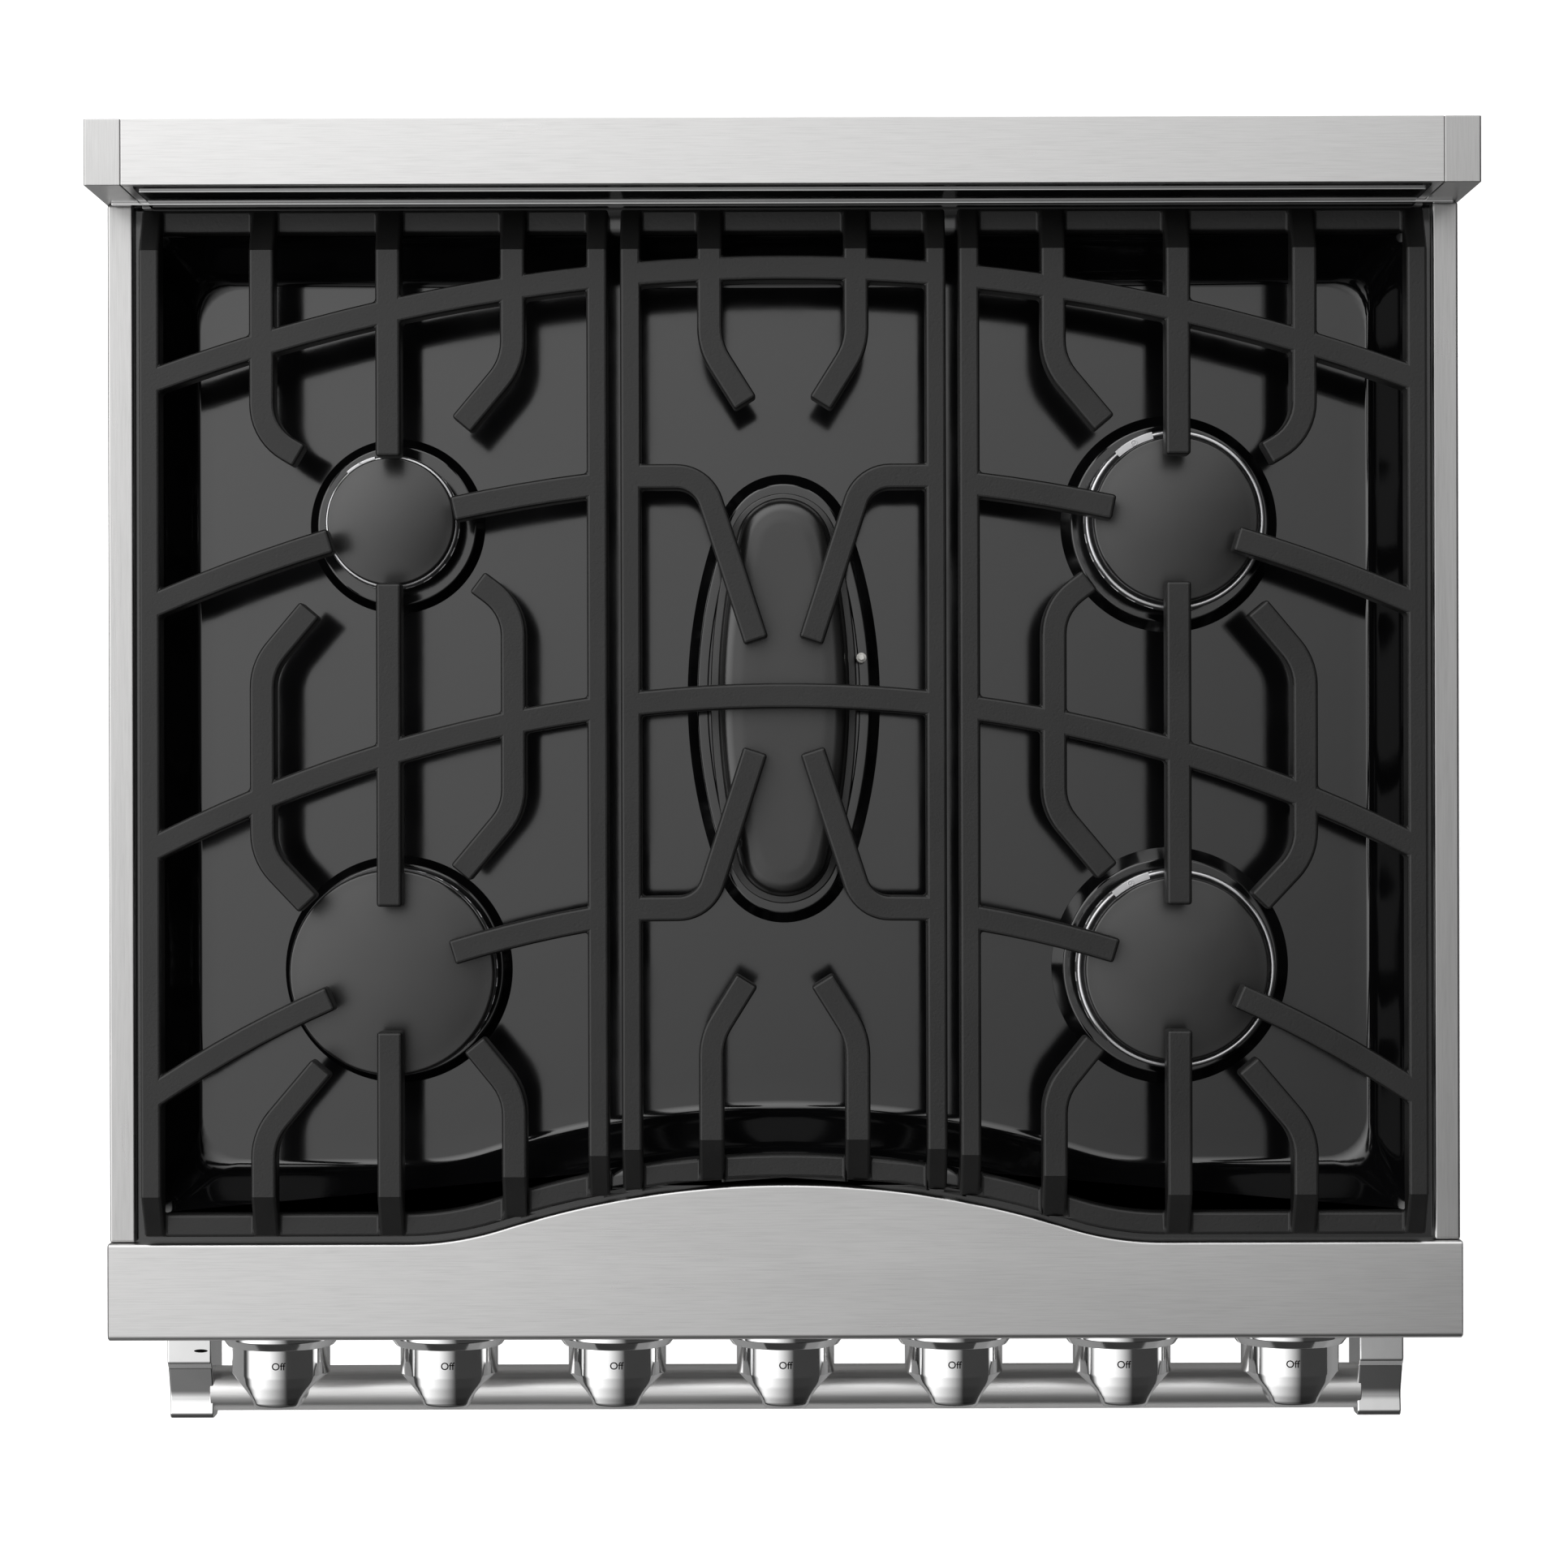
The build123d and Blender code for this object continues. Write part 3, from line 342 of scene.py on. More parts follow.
def _smudge(tree: bpy.types.NodeTree) -> None:
    """Soft uneven patches, as left by wiping and handling."""
    t = Tree(tree)
    start, end = _sockets(tree, {"Vector": (0.0, 0.0, 0.0), "Scale": 14.0}, ("Mask",))
    noise = t.add("TexNoise", {"Vector": start.outputs["Vector"], "Scale": start.outputs["Scale"],
                               "Detail": 5.0, "Roughness": 0.55, "Distortion": 0.6})
    mask = t.add("MapRange", {"Value": noise.outputs["Fac"], "From Min": 0.38, "From Max": 0.68})
    t.feed(end, "Mask", mask.outputs["Result"])


def _cast(tree: bpy.types.NodeTree) -> None:
    """Sand-cast skin: a fine grain with scattered shallow pits and slow tone changes."""
    t = Tree(tree)
    start, end = _sockets(tree, {"Vector": (0.0, 0.0, 0.0), "Grain": 900.0}, ("Height", "Tone"))
    vector = start.outputs["Vector"]
    grain = t.add("TexNoise", {"Vector": vector, "Scale": start.outputs["Grain"], "Detail": 3.0})
    coarse = t.math("MULTIPLY", start.outputs["Grain"], 0.33)
    pits = t.add("TexVoronoi", {"Vector": vector, "Scale": coarse})
    pit = t.add("MapRange", {"Value": pits.outputs["Distance"], "From Min": 0.05, "From Max": 0.35})
    slow = t.add("TexNoise", {"Vector": vector, "Scale": 22.0, "Detail": 4.0})
    height = t.math("ADD", t.math("MULTIPLY", grain.outputs["Fac"], 0.7),
                    t.math("MULTIPLY", pit.outputs["Result"], 0.3))
    t.feed(end, "Height", height)
    t.feed(end, "Tone", slow.outputs["Fac"])


def _speckle(tree: bpy.types.NodeTree) -> None:
    """Small light fleck in porcelain enamel, from the distance to scattered points."""
    t = Tree(tree)
    start, end = _sockets(tree, {"Vector": (0.0, 0.0, 0.0), "Scale": 420.0}, ("Fleck",))
    cells = t.add("TexVoronoi", {"Vector": start.outputs["Vector"],
                                 "Scale": start.outputs["Scale"]})
    fleck = t.add("MapRange", {"Value": cells.outputs["Distance"], "From Min": 0.24,
                               "From Max": 0.14})
    t.feed(end, "Fleck", fleck.outputs["Result"])


def _peel(tree: bpy.types.NodeTree) -> None:
    """The slight waviness of fired enamel or sprayed paint, as a height."""
    t = Tree(tree)
    start, end = _sockets(tree, {"Vector": (0.0, 0.0, 0.0), "Scale": 120.0}, ("Height",))
    wave = t.add("TexNoise", {"Vector": start.outputs["Vector"], "Scale": start.outputs["Scale"],
                              "Detail": 2.0})
    t.feed(end, "Height", wave.outputs["Fac"])


class Surface:
    """One material with its Principled shader and the helpers that finishes use."""

    def __init__(self, name: str, **constants: object) -> None:
        """Makes the material; constants are shader values by socket name with _ for spaces."""
        self.material = bpy.data.materials.new(name)
        self.material.use_nodes = True
        tree = self.material.node_tree
        self.nodes = Tree(tree)
        self.shader = next(n for n in tree.nodes if n.type == "BSDF_PRINCIPLED")
        self.place = self.nodes.add("TexCoord").outputs["Object"]
        for socket, value in constants.items():
            self.shader.inputs[socket.replace("_", " ")].default_value = value

    def effect(self, effect: Effect, **inputs: object) -> bpy.types.Node:
        """Places a shared effect on the piece's object coordinates."""
        node = self.nodes.tree.nodes.new("ShaderNodeGroup")
        node.node_tree = effect.group()
        self.nodes.feed(node, "Vector", self.place)
        for socket, value in inputs.items():
            self.nodes.feed(node, socket, value)
        return node

    def feed(self, socket: str, value: object) -> None:
        """Feeds one of the shader's inputs."""
        self.nodes.feed(self.shader, socket, value)

    def bump(self, height: bpy.types.NodeSocket, strength: float, distance: float) -> None:
        """Feeds the shader's normal from a height.

        Args:
            height: the height's socket.
            strength: how much of the bump shows, from 0 to 1.
            distance: the height's full range in metres.
        """
        node = self.nodes.add("Bump", {"Height": height, "Strength": strength,
                                       "Distance": distance})
        self.feed("Normal", node.outputs["Normal"])


def grey(value: float, warm: float = 0.0) -> tuple[float, float, float, float]:
    """A near-neutral colour, tinted warm above 0 and cool below."""
    return (value * (1 + warm), value, value * (1 - warm), 1.0)


def shade(colour: Sequence[float], factor: float) -> tuple[float, ...]:
    """The colour made darker or lighter by a factor."""
    return tuple(min(c * factor, 1.0) for c in colour[:3])


# --------------------------------------------------------------------------- finishes
class Grain(Enum):
    """The direction that a steel surface was brushed in, as the stretch of its streak noise."""

    ALONG_X = (38.0, 1400.0, 1400.0)
    ALONG_Y = (1400.0, 38.0, 1400.0)


@dataclass(frozen=True)
class BrushedSteel:
    """Stainless steel brushed in one direction."""

    name: str
    grain: Grain
    tone: float = 0.63
    roughness: tuple[float, float] = (0.24, 0.32)
    relief: float = 0.05

    def material(self) -> bpy.types.Material:
        """Streaks drive tone, roughness and a very fine relief; smudges dull it in patches."""
        s = Surface(self.name, Metallic=1.0, Anisotropic=0.35)
        brushed = s.effect(Effect.BRUSHED, Stretch=self.grain.value)
        smudge = s.effect(Effect.SMUDGE, Scale=9.0)
        tone = grey(self.tone, 0.006)
        s.feed("Base Color", s.nodes.ramp(brushed.outputs["Streak"], [
            (0.32, shade(tone, 0.92)), (0.50, tone), (0.70, shade(tone, 1.05))]))
        rough = s.nodes.spread(brushed.outputs["Band"], *self.roughness)
        patch = s.nodes.spread(smudge.outputs["Mask"], 0.0, 0.05)
        s.feed("Roughness", s.nodes.math("ADD", rough, patch))
        s.bump(brushed.outputs["Streak"], self.relief, 0.0002)
        return s.material


@dataclass(frozen=True)
class Chrome:
    """Polished plated metal with faint wipe marks."""

    name: str
    tone: float = 0.86
    roughness: float = 0.06

    def material(self) -> bpy.types.Material:
        """Smudges change only the roughness, so the reflections stay bright."""
        s = Surface(self.name, Metallic=1.0)
        smudge = s.effect(Effect.SMUDGE, Scale=30.0)
        s.feed("Roughness", s.nodes.spread(smudge.outputs["Mask"], self.roughness,
                                           self.roughness + 0.07))
        s.feed("Base Color", s.nodes.ramp(smudge.outputs["Mask"], [
            (0.0, grey(self.tone)), (1.0, shade(grey(self.tone), 0.94))]))
        peel = s.effect(Effect.PEEL, Scale=160.0)
        s.bump(peel.outputs["Height"], 0.03, 0.0003)
        return s.material


@dataclass(frozen=True)
class CastEnamel:
    """Cast iron under matte black enamel."""

    name: str
    tone: float = 0.005
    roughness: tuple[float, float] = (0.36, 0.48)
    grain: float = 800.0
    relief: float = 0.30
    gloss: float = 0.5
    swing: float = 0.25

    def material(self) -> bpy.types.Material:
        """The cast skin gives the relief; slow tone changes move colour and roughness."""
        s = Surface(self.name, Specular_IOR_Level=self.gloss)
        cast = s.effect(Effect.CAST, Grain=self.grain)
        tone = grey(self.tone, 0.02)
        s.feed("Base Color", s.nodes.ramp(cast.outputs["Tone"], [
            (0.35, shade(tone, 1 - self.swing)), (0.65, shade(tone, 1 + self.swing))]))
        s.feed("Roughness", s.nodes.spread(cast.outputs["Tone"], *self.roughness))
        s.bump(cast.outputs["Height"], self.relief, 0.0003)
        return s.material


@dataclass(frozen=True)
class GlossEnamel:
    """Fired porcelain enamel, plain or with a light fleck."""

    name: str
    colour: tuple[float, float, float] = (0.0022, 0.0022, 0.0024)
    fleck: float = 0.0
    roughness: float = 0.075
    steep_gloss_shade: float = 1.0

    def material(self) -> bpy.types.Material:
        """A wavy gloss coat, dulled a little where wiped; on steep walls its reflection may be
        turned down, which paints shade on them.
        """
        s = Surface(self.name, Specular_IOR_Level=1.0)
        # Painted shade: the shine is cut on faces by how steep they are, so the pan's walls and the
        # back trim's shade strip read black.
        if self.steep_gloss_shade < 1.0:
            facing = s.nodes.add("NewGeometry").outputs["Normal"]
            slope = s.nodes.add("SeparateXYZ", {"Vector": facing})
            s.feed("Specular IOR Level", s.nodes.ramp(slope.outputs["Z"], [
                (0.70, grey(self.steep_gloss_shade)), (0.93, grey(1.0))]))
        smudge = s.effect(Effect.SMUDGE, Scale=12.0)
        s.feed("Roughness", s.nodes.spread(smudge.outputs["Mask"], self.roughness,
                                           self.roughness + 0.05))
        fleck = s.effect(Effect.SPECKLE)
        light = tuple(c + self.fleck for c in self.colour)
        s.feed("Base Color", s.nodes.ramp(fleck.outputs["Fleck"], [
            (0.0, self.colour), (1.0, light)]))
        peel = s.effect(Effect.PEEL, Scale=90.0)
        s.bump(peel.outputs["Height"], 0.02, 0.0006)
        return s.material


@dataclass(frozen=True)
class PlainMetal:
    """Metal with no brushed grain: castings, plated sheet, wire, brass and heated tube."""

    name: str
    colour: tuple[float, float, float]
    roughness: tuple[float, float] = (0.30, 0.48)
    grain: float = 500.0
    relief: float = 0.15
    metallic: float = 1.0
    swing: float = 0.14

    def material(self) -> bpy.types.Material:
        """The cast skin at a finer scale gives tone, roughness and relief."""
        s = Surface(self.name, Metallic=self.metallic)
        cast = s.effect(Effect.CAST, Grain=self.grain)
        s.feed("Base Color", s.nodes.ramp(cast.outputs["Tone"], [
            (0.3, shade(self.colour, 1 - self.swing)), (0.7, shade(self.colour, 1 + self.swing))]))
        s.feed("Roughness", s.nodes.spread(cast.outputs["Tone"], *self.roughness))
        s.bump(cast.outputs["Height"], self.relief, 0.0002)
        return s.material


@dataclass(frozen=True)
class TintedGlass:
    """Oven window glass with a dark tint."""

    name: str

    def material(self) -> bpy.types.Material:
        """Clear transmission, with smudges only in the roughness."""
        s = Surface(self.name, Transmission_Weight=0.9, IOR=1.5)
        smudge = s.effect(Effect.SMUDGE, Scale=10.0)
        s.feed("Base Color", s.nodes.ramp(smudge.outputs["Mask"], [
            (0.0, (0.10, 0.105, 0.11)), (1.0, (0.13, 0.135, 0.14))]))
        s.feed("Roughness", s.nodes.spread(smudge.outputs["Mask"], 0.02, 0.06))
        return s.material


FINISHES = {
    "stainless": BrushedSteel("Stainless brushed across", Grain.ALONG_X),
    "steel_trim": BrushedSteel("Stainless brushed front to back", Grain.ALONG_Y, tone=0.52),
    "chrome": Chrome("Polished chrome"),
    "tube_steel": BrushedSteel("Satin handle tube", Grain.ALONG_X, tone=0.96),
    # The print's black also paints the shade of the handle bracket's set-screw hole.
    "ink_and_hole_shade": CastEnamel("Black print and hole shade", tone=0.002, roughness=(0.85, 0.95), relief=0.02, gloss=0.1),
    "cast_iron": CastEnamel("Matte cast grate"),
    "cap_enamel": CastEnamel("Matte burner cap", tone=0.008, roughness=(0.27, 0.33), grain=1300.0,
                             relief=0.08, gloss=0.85),
    # The gloss black also paints shade: its steep faces shine only a tenth as much as its flat
    # ones.
    "black_enamel": GlossEnamel("Gloss black pan with painted shade", steep_gloss_shade=0.10),
    "oven_enamel": GlossEnamel("Flecked oven enamel", (0.020, 0.022, 0.030), fleck=0.22,
                               roughness=0.22),
    "side_paint": CastEnamel("Satin side paint", tone=0.045, roughness=(0.40, 0.43), grain=1500.0,
                             relief=0.10, swing=0.04),
    "zinc_sheet": PlainMetal("Plated sheet", (0.50, 0.51, 0.52), (0.34, 0.38), grain=120.0,
                             relief=0.03, swing=0.03),
    "aluminium": PlainMetal("Cast aluminium", (0.62, 0.62, 0.63), (0.26, 0.40), grain=700.0),
    "ceramic": PlainMetal("Fired ceramic", (0.78, 0.77, 0.73), (0.35, 0.5), relief=0.1,
                          metallic=0.0),
    "steel_wire": PlainMetal("Bright wire", (0.62, 0.62, 0.62), (0.16, 0.28), relief=0.05),
    "dark_steel": PlainMetal("Heat tinted steel", (0.30, 0.27, 0.25), (0.34, 0.5), grain=400.0),
    "glass": TintedGlass("Window glass"),
    "gasket": CastEnamel("Woven seal", tone=0.16, roughness=(0.8, 0.95), grain=350.0, relief=0.8),
    "brass": PlainMetal("Turned brass", (0.72, 0.53, 0.25), (0.2, 0.34), relief=0.06),
}


@dataclass
class Paintbox:
    """Every finish's material, by the record's slot name, plus the few extra ones."""

    made: dict[str, bpy.types.Material] = field(default_factory=dict)

    def __getitem__(self, slot: str) -> bpy.types.Material:
        """Returns the slot's material, making it the first time."""
        if slot not in self.made:
            self.made[slot] = FINISHES[slot].material()
        return self.made[slot]


# --------------------------------------------------------------------------- cooktop shapes
@dataclass
class LedgeCurve:
    """The landing ledge's rear edge: flat ends, blend arcs and a middle arc bulging backward."""

    flat_y: float = -245.1
    peak_y: float = -212.4
    middle_r: float = 524.0
    middle_x: float = 158.0
    blend_r: float = 179.0
    blend_x: float = 211.9

    def points(self, offset: float, half: float, steps: int = 24) -> np.ndarray:
        """The curve moved rearward by an offset, from -half to +half.

        A parallel of an arc has the same centre, so the middle arc's radius grows by the offset
        and the blend arcs' radii shrink by it.

        Args:
            offset: millimetres toward the rear.
            half: half the length in X.
            steps: points on each arc.

        Returns:
            Array (n, 2) of X and Y.
        """
        turn = math.asin(self.middle_x / self.middle_r)
        a = np.linspace(-turn, turn, 2 * steps)
        big, small = self.middle_r + offset, self.blend_r - offset
        middle = np.stack([big * np.sin(a), self.peak_y - self.middle_r + big * np.cos(a)], 1)
        b = np.linspace(turn, 0, steps)[1:]
        right = np.stack([self.blend_x - small * np.sin(b),
                          self.flat_y + self.blend_r - small * np.cos(b)], 1)
        left = right[::-1] * (-1, 1)
        ends = np.linspace(self.blend_x, half, 4)[1:]
        tail = np.stack([ends, np.full(3, self.flat_y + offset)], 1)
        return np.concatenate([tail[::-1] * (-1, 1), left, middle, right, tail])


@dataclass
class CooktopPan:
    """The recessed pan: a pressed basin with rolled edges and a collar round each burner."""

    paint: Paintbox
    curve: LedgeCurve
    rim_z: float = 908.0
    floor_z: float = 869.0
    top: tuple[float, float, float, float] = (350.0, 319.0, 17.0, 6.0)
    low: tuple[float, float, float, float] = (336.5, 300.0, 37.5, 21.0)
    skirt: tuple[float, float, float, float] = (377.0, 336.8, -2.0, 4.0)
    soft: float = 0.26
    seat_rise: float = 5.0
    skirt_drop: float = 1.6
    sheet: float = 1.8
    oval_seat: tuple[float, float, float] = (55.1, 128.3, 39.0)

    def outline(self, half: float, rear: float, offset: float, corner: float) -> np.ndarray:
        """One closed outline of the basin.

        Args:
            half: half width.
            rear: Y of the rear side.
            offset: how far the front side lies behind the ledge curve.
            corner: radius of the four corners.

        Returns:
            Array (n, 2), with the same n for every basin outline.
        """
        front = self.curve.points(offset, half - corner)
        a = np.linspace(0, math.pi / 2, 9)[1:]
        y0 = self.curve.flat_y + offset
        out, rise = half - corner + corner * np.array([np.sin(a), np.cos(a)]), corner * np.sin(a)
        corner_fr = np.stack([out[0], y0 + corner - corner * np.cos(a)], 1)
        sides = np.linspace(y0 + corner, rear - corner, 8)[1:-1]
        side_r = np.stack([np.full(6, half), sides], 1)
        corner_rr = np.stack([out[1], rear - corner + rise], 1)
        corner_rr = np.concatenate([[(half, rear - corner)], corner_rr])
        right = np.concatenate([corner_fr, side_r, corner_rr])
        left = right[::-1] * (-1, 1)
        return np.concatenate([front, right, left])

    def basin(self) -> np.ndarray:
        """The pan's wall as a grid: outlines from skirt to floor, levels along a rounded ramp."""
        u = np.concatenate([[-self.soft], np.linspace(-self.soft, self.soft, 7)[1:],
                            np.linspace(self.soft, 1 - self.soft, 4)[1:-1],
                            np.linspace(1 - self.soft, 1 + self.soft, 9), [1.9]])
        z = self.rim_z - (self.rim_z - self.floor_z) * ease(u, self.soft)
        top, low = np.array(self.top), np.array(self.low)
        rings = [self.outline(*self.skirt), self.outline(*self.skirt)]
        levels = [self.rim_z - self.skirt_drop, self.rim_z]
        for share, level in zip(u, z):
            rings.append(self.outline(*(top + (low - top) * share)))
            levels.append(float(level))
        stack = np.stack(rings)
        return np.concatenate([stack, np.broadcast_to(np.array(levels)[:, None, None],
                                                      (*stack.shape[:2], 1))], -1)

    def seat(self, burner: RoundBurner) -> np.ndarray:
        """The raised seat of a round burner: a cone up from the floor and a flat top."""
        low, top = self.floor_z - SEAT_SINK, self.floor_z + self.seat_rise
        inner = burner.cap_r - 6.2
        profile = softened([(inner, low), (inner, top), (burner.collar_in, top),
                            (burner.collar_out, self.floor_z), (burner.collar_out + 0.2, low)], 0.8)
        return turned(profile, burner.x, burner.y, 120)

    def build(self, burners: Sequence[RoundBurner], oval: OvalBurner) -> None:
        """Makes the pan and its burner seats.

        Args:
            burners: the four round burners, for their places and seat sizes.
            oval: the long burner.
        """
        shell = Shell()
        wall = self.basin()
        shell.grid(wall, wrap_cols=True)
        shell.cap(wall[-1])
        piece = shell.build("pan_basin", "range", "black_enamel", self.paint["black_enamel"],
                            closed=False)
        face_up(piece)
        solid = piece.modifiers.new("sheet", "SOLIDIFY")
        solid.thickness, solid.offset = self.sheet * MM, -1.0
        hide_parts("cooktop_pan")
        rings = Shell()
        for burner in burners:
            rings.grid(self.seat(burner), wrap_cols=True)
        low, top = self.floor_z - SEAT_SINK, self.floor_z + self.seat_rise
        profile = softened([(-0.2, low), (0.0, self.floor_z), (6.1, top), (12.0, top),
                            (12.0, low)], 0.8)
        rings.grid(oval.carried(profile, *self.oval_seat), wrap_cols=True)
        rings.build("pan_seats", "range", "black_enamel", self.paint["black_enamel"])


def face_up(piece: bpy.types.Object) -> None:
    """Turns an open sheet over if most of its area looks down."""
    mesh = piece.data
    normal = np.zeros(len(mesh.polygons) * 3)
    mesh.polygons.foreach_get("normal", normal)
    area = np.zeros(len(mesh.polygons))
    mesh.polygons.foreach_get("area", area)
    if (normal.reshape(-1, 3)[:, 2] * area).sum() < 0:
        mesh.flip_normals()


@dataclass
class RoundBurner:
    """A round burner: slotted head and domed cap."""

    paint: Paintbox
    name: str
    x: float
    y: float
    cap_r: float
    head_r: float
    collar_in: float
    collar_out: float
    floor_z: float = 869.0
    dome: float = 9.0
    fall: float = 4.1
    port_steps: int = 6
    port_depth: float = 4.5

    def cap(self) -> None:
        """The cap: a shallow dome falling with the radius squared, over a rounded rim."""
        z0 = self.floor_z + HEAD_HEIGHT
        r = np.linspace(0, 0.93, 16)
        top = np.stack([self.cap_r * r, z0 + self.dome - self.fall * r ** 2], 1)[::-1]
        rim = softened([(self.cap_r - 14, z0 - 3.8), (self.cap_r - 14, z0 + 0.3),
                        (self.cap_r - 0.8, z0 + 0.3), (self.cap_r, z0 + 3.0),
                        (self.cap_r * 0.985, z0 + 5.2), tuple(top[0])], 1.6)
        surface = turned(np.concatenate([rim[:-1], top]), self.x, self.y)
        shell = Shell()
        shell.grid(surface, wrap_cols=True)
        shell.cap(surface[0])
        piece = shell.build(f"cap_{self.name}", f"cap_{self.name}", "cap_enamel",
                            self.paint["cap_enamel"])
        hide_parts(f"burner_cap_{self.name}")

    def head(self) -> None:
        """The head: a turned body whose port ring dips inward at each flame port.

        The radius at angle t is r(z) minus a depth where cos(n t) is high, over the ports' height.
        """
        z0, r, h = self.floor_z, self.cap_r, self.head_r
        points = [(r * 0.42, z0), (r - 6, z0), (r - 6, z0 + 4), (r - 11, z0 + 8), (r - 9, z0 + 22),
                  (h - 1.5, z0 + 25), (h, z0 + 26.5), (h, z0 + 33.6), (h - 0.9, z0 + 35.2),
                  (h - 2.6, z0 + 35.2), (max(r - 1.0, h - 4.0), z0 + 33.4), (r - 5, z0 + 33.4),
                  (r - 6, z0 + 36), (r - 14, z0 + 36)]
        outer = softened(points, 0.9, 4)
        ports = int(round(r * 0.62))
        around = ports * self.port_steps
        rows = np.concatenate([outer[outer[:, 1] < z0 + 27.5],
                               [(h, z0 + 28.2), (h, z0 + 28.4), (h, z0 + 32.6), (h, z0 + 32.8)],
                               outer[outer[:, 1] > z0 + 33]])
        grid = turned(rows, 0, 0, around)
        t = np.arange(around) % self.port_steps
        deep = (rows[:, 1] > z0 + 28.3) & (rows[:, 1] < z0 + 32.7)
        port = deep[:, None] & ((t == 2) | (t == 3))[None]
        scale = np.where(port, 1 - self.port_depth / h, 1.0)
        grid[..., :2] *= scale[..., None]
        grid[..., :2] += (self.x, self.y)
        shell = Shell()
        shell.grid(grid, wrap_cols=True)
        well = softened([(r - 14, z0 + 36), (r - 16, z0 + 24), (r * 0.42, z0 + 14),
                         (r * 0.42, z0)], 2.0, 4)
        shell.grid(turned(well, self.x, self.y), wrap_cols=True)
        piece = shell.build(f"head_{self.name}", "range", "aluminium", self.paint["aluminium"])
        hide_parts(f"burner_head_{self.name}")


@dataclass
class OvalBurner:
    """The long centre burner: head, cap and the four-arc ovals that shape them."""

    paint: Paintbox
    y: float = 60.3
    floor_z: float = 869.0
    half: tuple[float, float, float] = (35.3, 110.7, 25.0)
    arc_steps: int = 26

    def oval(self, half_w: float, half_l: float, end_r: float) -> np.ndarray:
        """A four-arc oval round the burner's middle.

        End arcs of radius end_r meet side arcs that touch them, whose radius follows from the
        two halves: (w^2 + d^2 - e^2) / (2 (w - e)), with d the end arcs' distance from the middle.

        Args:
            half_w: half width.
            half_l: half length.
            end_r: radius of the two ends.

        Returns:
            Array (n, 2) of X and Y, counter-clockwise.
        """
        d = half_l - end_r
        side_r = (half_w ** 2 + d ** 2 - end_r ** 2) / (2 * (half_w - end_r))
        swing = math.atan2(d, side_r - half_w)
        a = np.linspace(-swing, swing, self.arc_steps)
        side = np.stack([half_w - side_r + side_r * np.cos(a), side_r * np.sin(a)], 1)
        b = np.linspace(swing, math.pi - swing, self.arc_steps)[1:-1]
        end = np.stack([end_r * np.cos(b), d + end_r * np.sin(b)], 1)
        ring = np.concatenate([side, end, -side, -end])
        return ring + (0, self.y)

    def carried(self, profile: np.ndarray, half_w: float, half_l: float,
                end_r: float) -> np.ndarray:
        """Carries (inset, z) round an oval; an inset oval is its exact parallel curve."""
        count = 4 * self.arc_steps - 4
        return np.stack([np.concatenate([self.oval(half_w - i, half_l - i, end_r - i),
                                         np.full((count, 1), z)], 1) for i, z in profile])

    def build(self) -> None:
        """Makes the cap and the head."""
        z0 = self.floor_z + HEAD_HEIGHT
        w, length, e = self.half
        edge = softened([(9.0, z0 - 3.5), (9.0, z0 + 0.3), (0.8, z0 + 0.3), (0.0, z0 + 3.2),
                         (1.4, z0 + 6.6), (5.0, z0 + 8.4), (12.0, z0 + 8.9),
                         (22.0, z0 + 9.0)], 1.8)
        shell = Shell()
        shell.tube(self.carried(edge, w, length, e))
        piece = shell.build("cap_long", "cap_center", "cap_enamel", self.paint["cap_enamel"])
        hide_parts("burner_cap_center")
        f = self.floor_z
        side = softened([(-6.5, f), (-6.5, f + 5.6), (9.0, f + 6.4), (9.0, f + 22),
                         (0.0, f + 25), (-1.8, f + 27), (-1.8, f + 33), (-1.2, f + 34),
                         (2.0, f + 36), (6.5, f + 36), (8.0, f + 24)], 1.0)
        shell = Shell()
        shell.tube(self.carried(side, w, length, e))
        head = shell.build("head_long", "range", "cap_enamel", self.paint["cap_enamel"])
        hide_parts("burner_head_center")


@dataclass
class LandingLedge:
    """The steel ledge in front of the cooktop, with a rounded nose and a curved rear edge."""

    paint: Paintbox
    curve: LedgeCurve
    half: float = 379.5
    front_y: float = -299.7
    top_z: float = 917.0
    low_z: float = 903.0
    rear_low_z: float = 908.1
    nose: float = 3.2
    lip: float = 2.0

    def build(self) -> None:
        """Carries the ledge's section along X, its rear end following the curve."""
        path = self.curve.points(0.0, self.half - 0.8, 30)
        x = np.concatenate([[-self.half], path[:, 0], [self.half]])
        rear = np.concatenate([path[:1, 1], path[:, 1], path[-1:, 1]])
        shrink = np.where(np.abs(x) > self.half - 0.1, 0.7, 0.0)
        a = np.linspace(0, math.pi / 2, 8)
        n = self.nose
        front = np.stack([n - n * np.cos(a), n * np.sin(a) - n], 1)
        lip = np.stack([np.sin(a[::2]) - 1, np.cos(a[::2]) - 1], 1) * self.lip
        sections = []
        for dx, y_rear, cut in zip(x, rear, shrink):
            y_front, low = self.front_y + cut, self.low_z + cut
            flat = [(self.front_y + 5, low), (y_front + 0.8, low), (y_front, low + 0.8)]
            nose = front + (y_front, self.top_z - cut)
            tail = np.concatenate([lip + (y_rear - cut, self.top_z - cut), [
                (y_rear - cut, self.rear_low_z + cut), (y_rear - 8, self.rear_low_z + cut)]])
            ring = np.concatenate([flat, nose, tail])
            sections.append(np.concatenate([np.full((len(ring), 1), dx), ring], 1))
        grid = np.stack(sections)
        shell = Shell()
        shell.tube(grid)
        piece = shell.build("ledge", "range", "stainless", self.paint["stainless"])
        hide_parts("landing_ledge")


